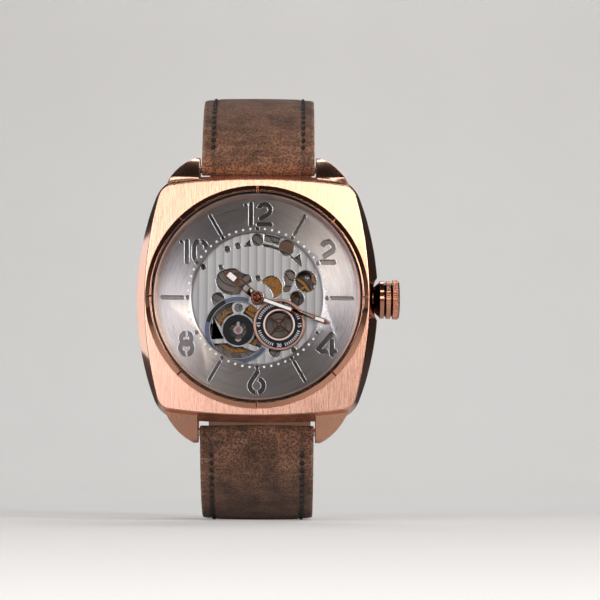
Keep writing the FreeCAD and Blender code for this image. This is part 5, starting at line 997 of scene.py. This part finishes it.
def sweep_stage():
    """Floor and backdrop as one sheet: flat, a quarter circle, then upright."""
    front, back, rise, radius, half = -2500.0, 1100.0, 1800.0, 300.0, 2500.0
    turn = np.radians(np.linspace(-90, 0, 17))
    y = np.concatenate([[front], back - radius + radius * np.cos(turn), [back]])
    z = np.concatenate([[0.0], radius + radius * np.sin(turn), [rise]]) + FLOOR_LEVEL
    points = np.stack(np.broadcast_arrays(np.array([-half, half])[:, None], y[None], z[None]), -1)
    step = np.arange(len(y) - 1)
    faces = np.stack([step, step + len(y), step + len(y) + 1, step + 1], -1)
    mesh = bpy.data.meshes.new("studio_sweep")
    mesh.from_pydata((points.reshape(-1, 3) * MM).tolist(), [], faces.tolist())
    mesh.materials.append(paper("pale_paper_sweep"))
    mesh.shade_smooth()
    sheet = bpy.data.objects.new("studio_sweep", mesh)
    bpy.context.scene.collection.objects.link(sheet)


def soft_box(name, spot, aim, width, height, radiance, colour="#FFFFFF"):
    """A rectangular area lamp facing a point, in millimetres, of an even brightness."""
    lamp = bpy.data.lights.new(name, "AREA")
    lamp.shape, lamp.size, lamp.size_y = "RECTANGLE", width * MM, height * MM
    lamp.energy = radiance * math.pi * width * height * MM ** 2
    lamp.color = linear(colour)[:3]
    holder = bpy.data.objects.new(name, lamp)
    holder.visible_camera = False
    bpy.context.scene.collection.objects.link(holder)
    holder.location = Vector(spot) * MM
    holder.rotation_euler = (Vector(aim) * MM - holder.location).to_track_quat("-Z", "Y").to_euler()


sweep_stage()
soft_box("key_left", (-470, -640, 100), (0, 0, 0), 380, 380, 4.5)
soft_box("fill_right", (519, -577, 194), (0, 0, 0), 320, 380, 8.0)
soft_box("left_panel", (-120, -400, 8), (0, 0, 0), 110, 130, 4.2, "#E8EDFF")
soft_box("right_panel", (95, -400, 74), (0, 0, 0), 130, 62, 7.0, "#FFF4E6")
soft_box("edge_strip", (0, -450, 540), (0, 0, 0), 700, 50, 7.0)
soft_box("flank_panel", (-620, 790, 40), (0, 0, 0), 360, 680, 1.1)
soft_box("back_box", (200, 700, 900), (0, 300, 0), 900, 500, 3.0)


def room():
    """The studio room as the world: dim walls that darken towards the ceiling, and a black flag round
    the lens."""
    made = bpy.data.worlds.new("studio_room")
    bpy.context.scene.world = made
    made.use_nodes = True
    tree = made.node_tree
    height = add(tree, "SeparateXYZ", {0: add(tree, "TexCoord", {}, "Generated")}, "Z")
    forward = add(tree, "SeparateXYZ", {0: add(tree, "TexCoord", {}, "Generated")}, "Y")
    flag = spread(tree, forward, 0.15, 1.0, -0.99, -0.94)
    tree.nodes["Background"].inputs["Color"].default_value = linear("#FFF6EE")
    tree.links.new(sums(tree, "MULTIPLY", flag, spread(tree, height, 0.22, 0.02, -0.1, 0.35)),
                   tree.nodes["Background"].inputs["Strength"])


room()
CAMERA_SPOT, CAMERA_AIM, CAMERA_ROLL = (4.8, -396.8, -32.2), (7.47, -8.6, -0.42), 0.004
camera = bpy.data.cameras.new("camera")
camera.lens, camera.sensor_width = 134.1, 36.0
camera.clip_start, camera.clip_end = 0.02, 20.0
viewer = bpy.data.objects.new("camera", camera)
bpy.context.scene.collection.objects.link(viewer)
viewer.location = Vector(CAMERA_SPOT) * MM
facing = (Vector(CAMERA_AIM) * MM - viewer.location).to_track_quat("-Z", "Y")
viewer.rotation_euler = (facing @ Quaternion((0, 0, 1), CAMERA_ROLL)).to_euler()
bpy.context.scene.camera = viewer
bpy.context.scene.view_settings.view_transform = "Standard"
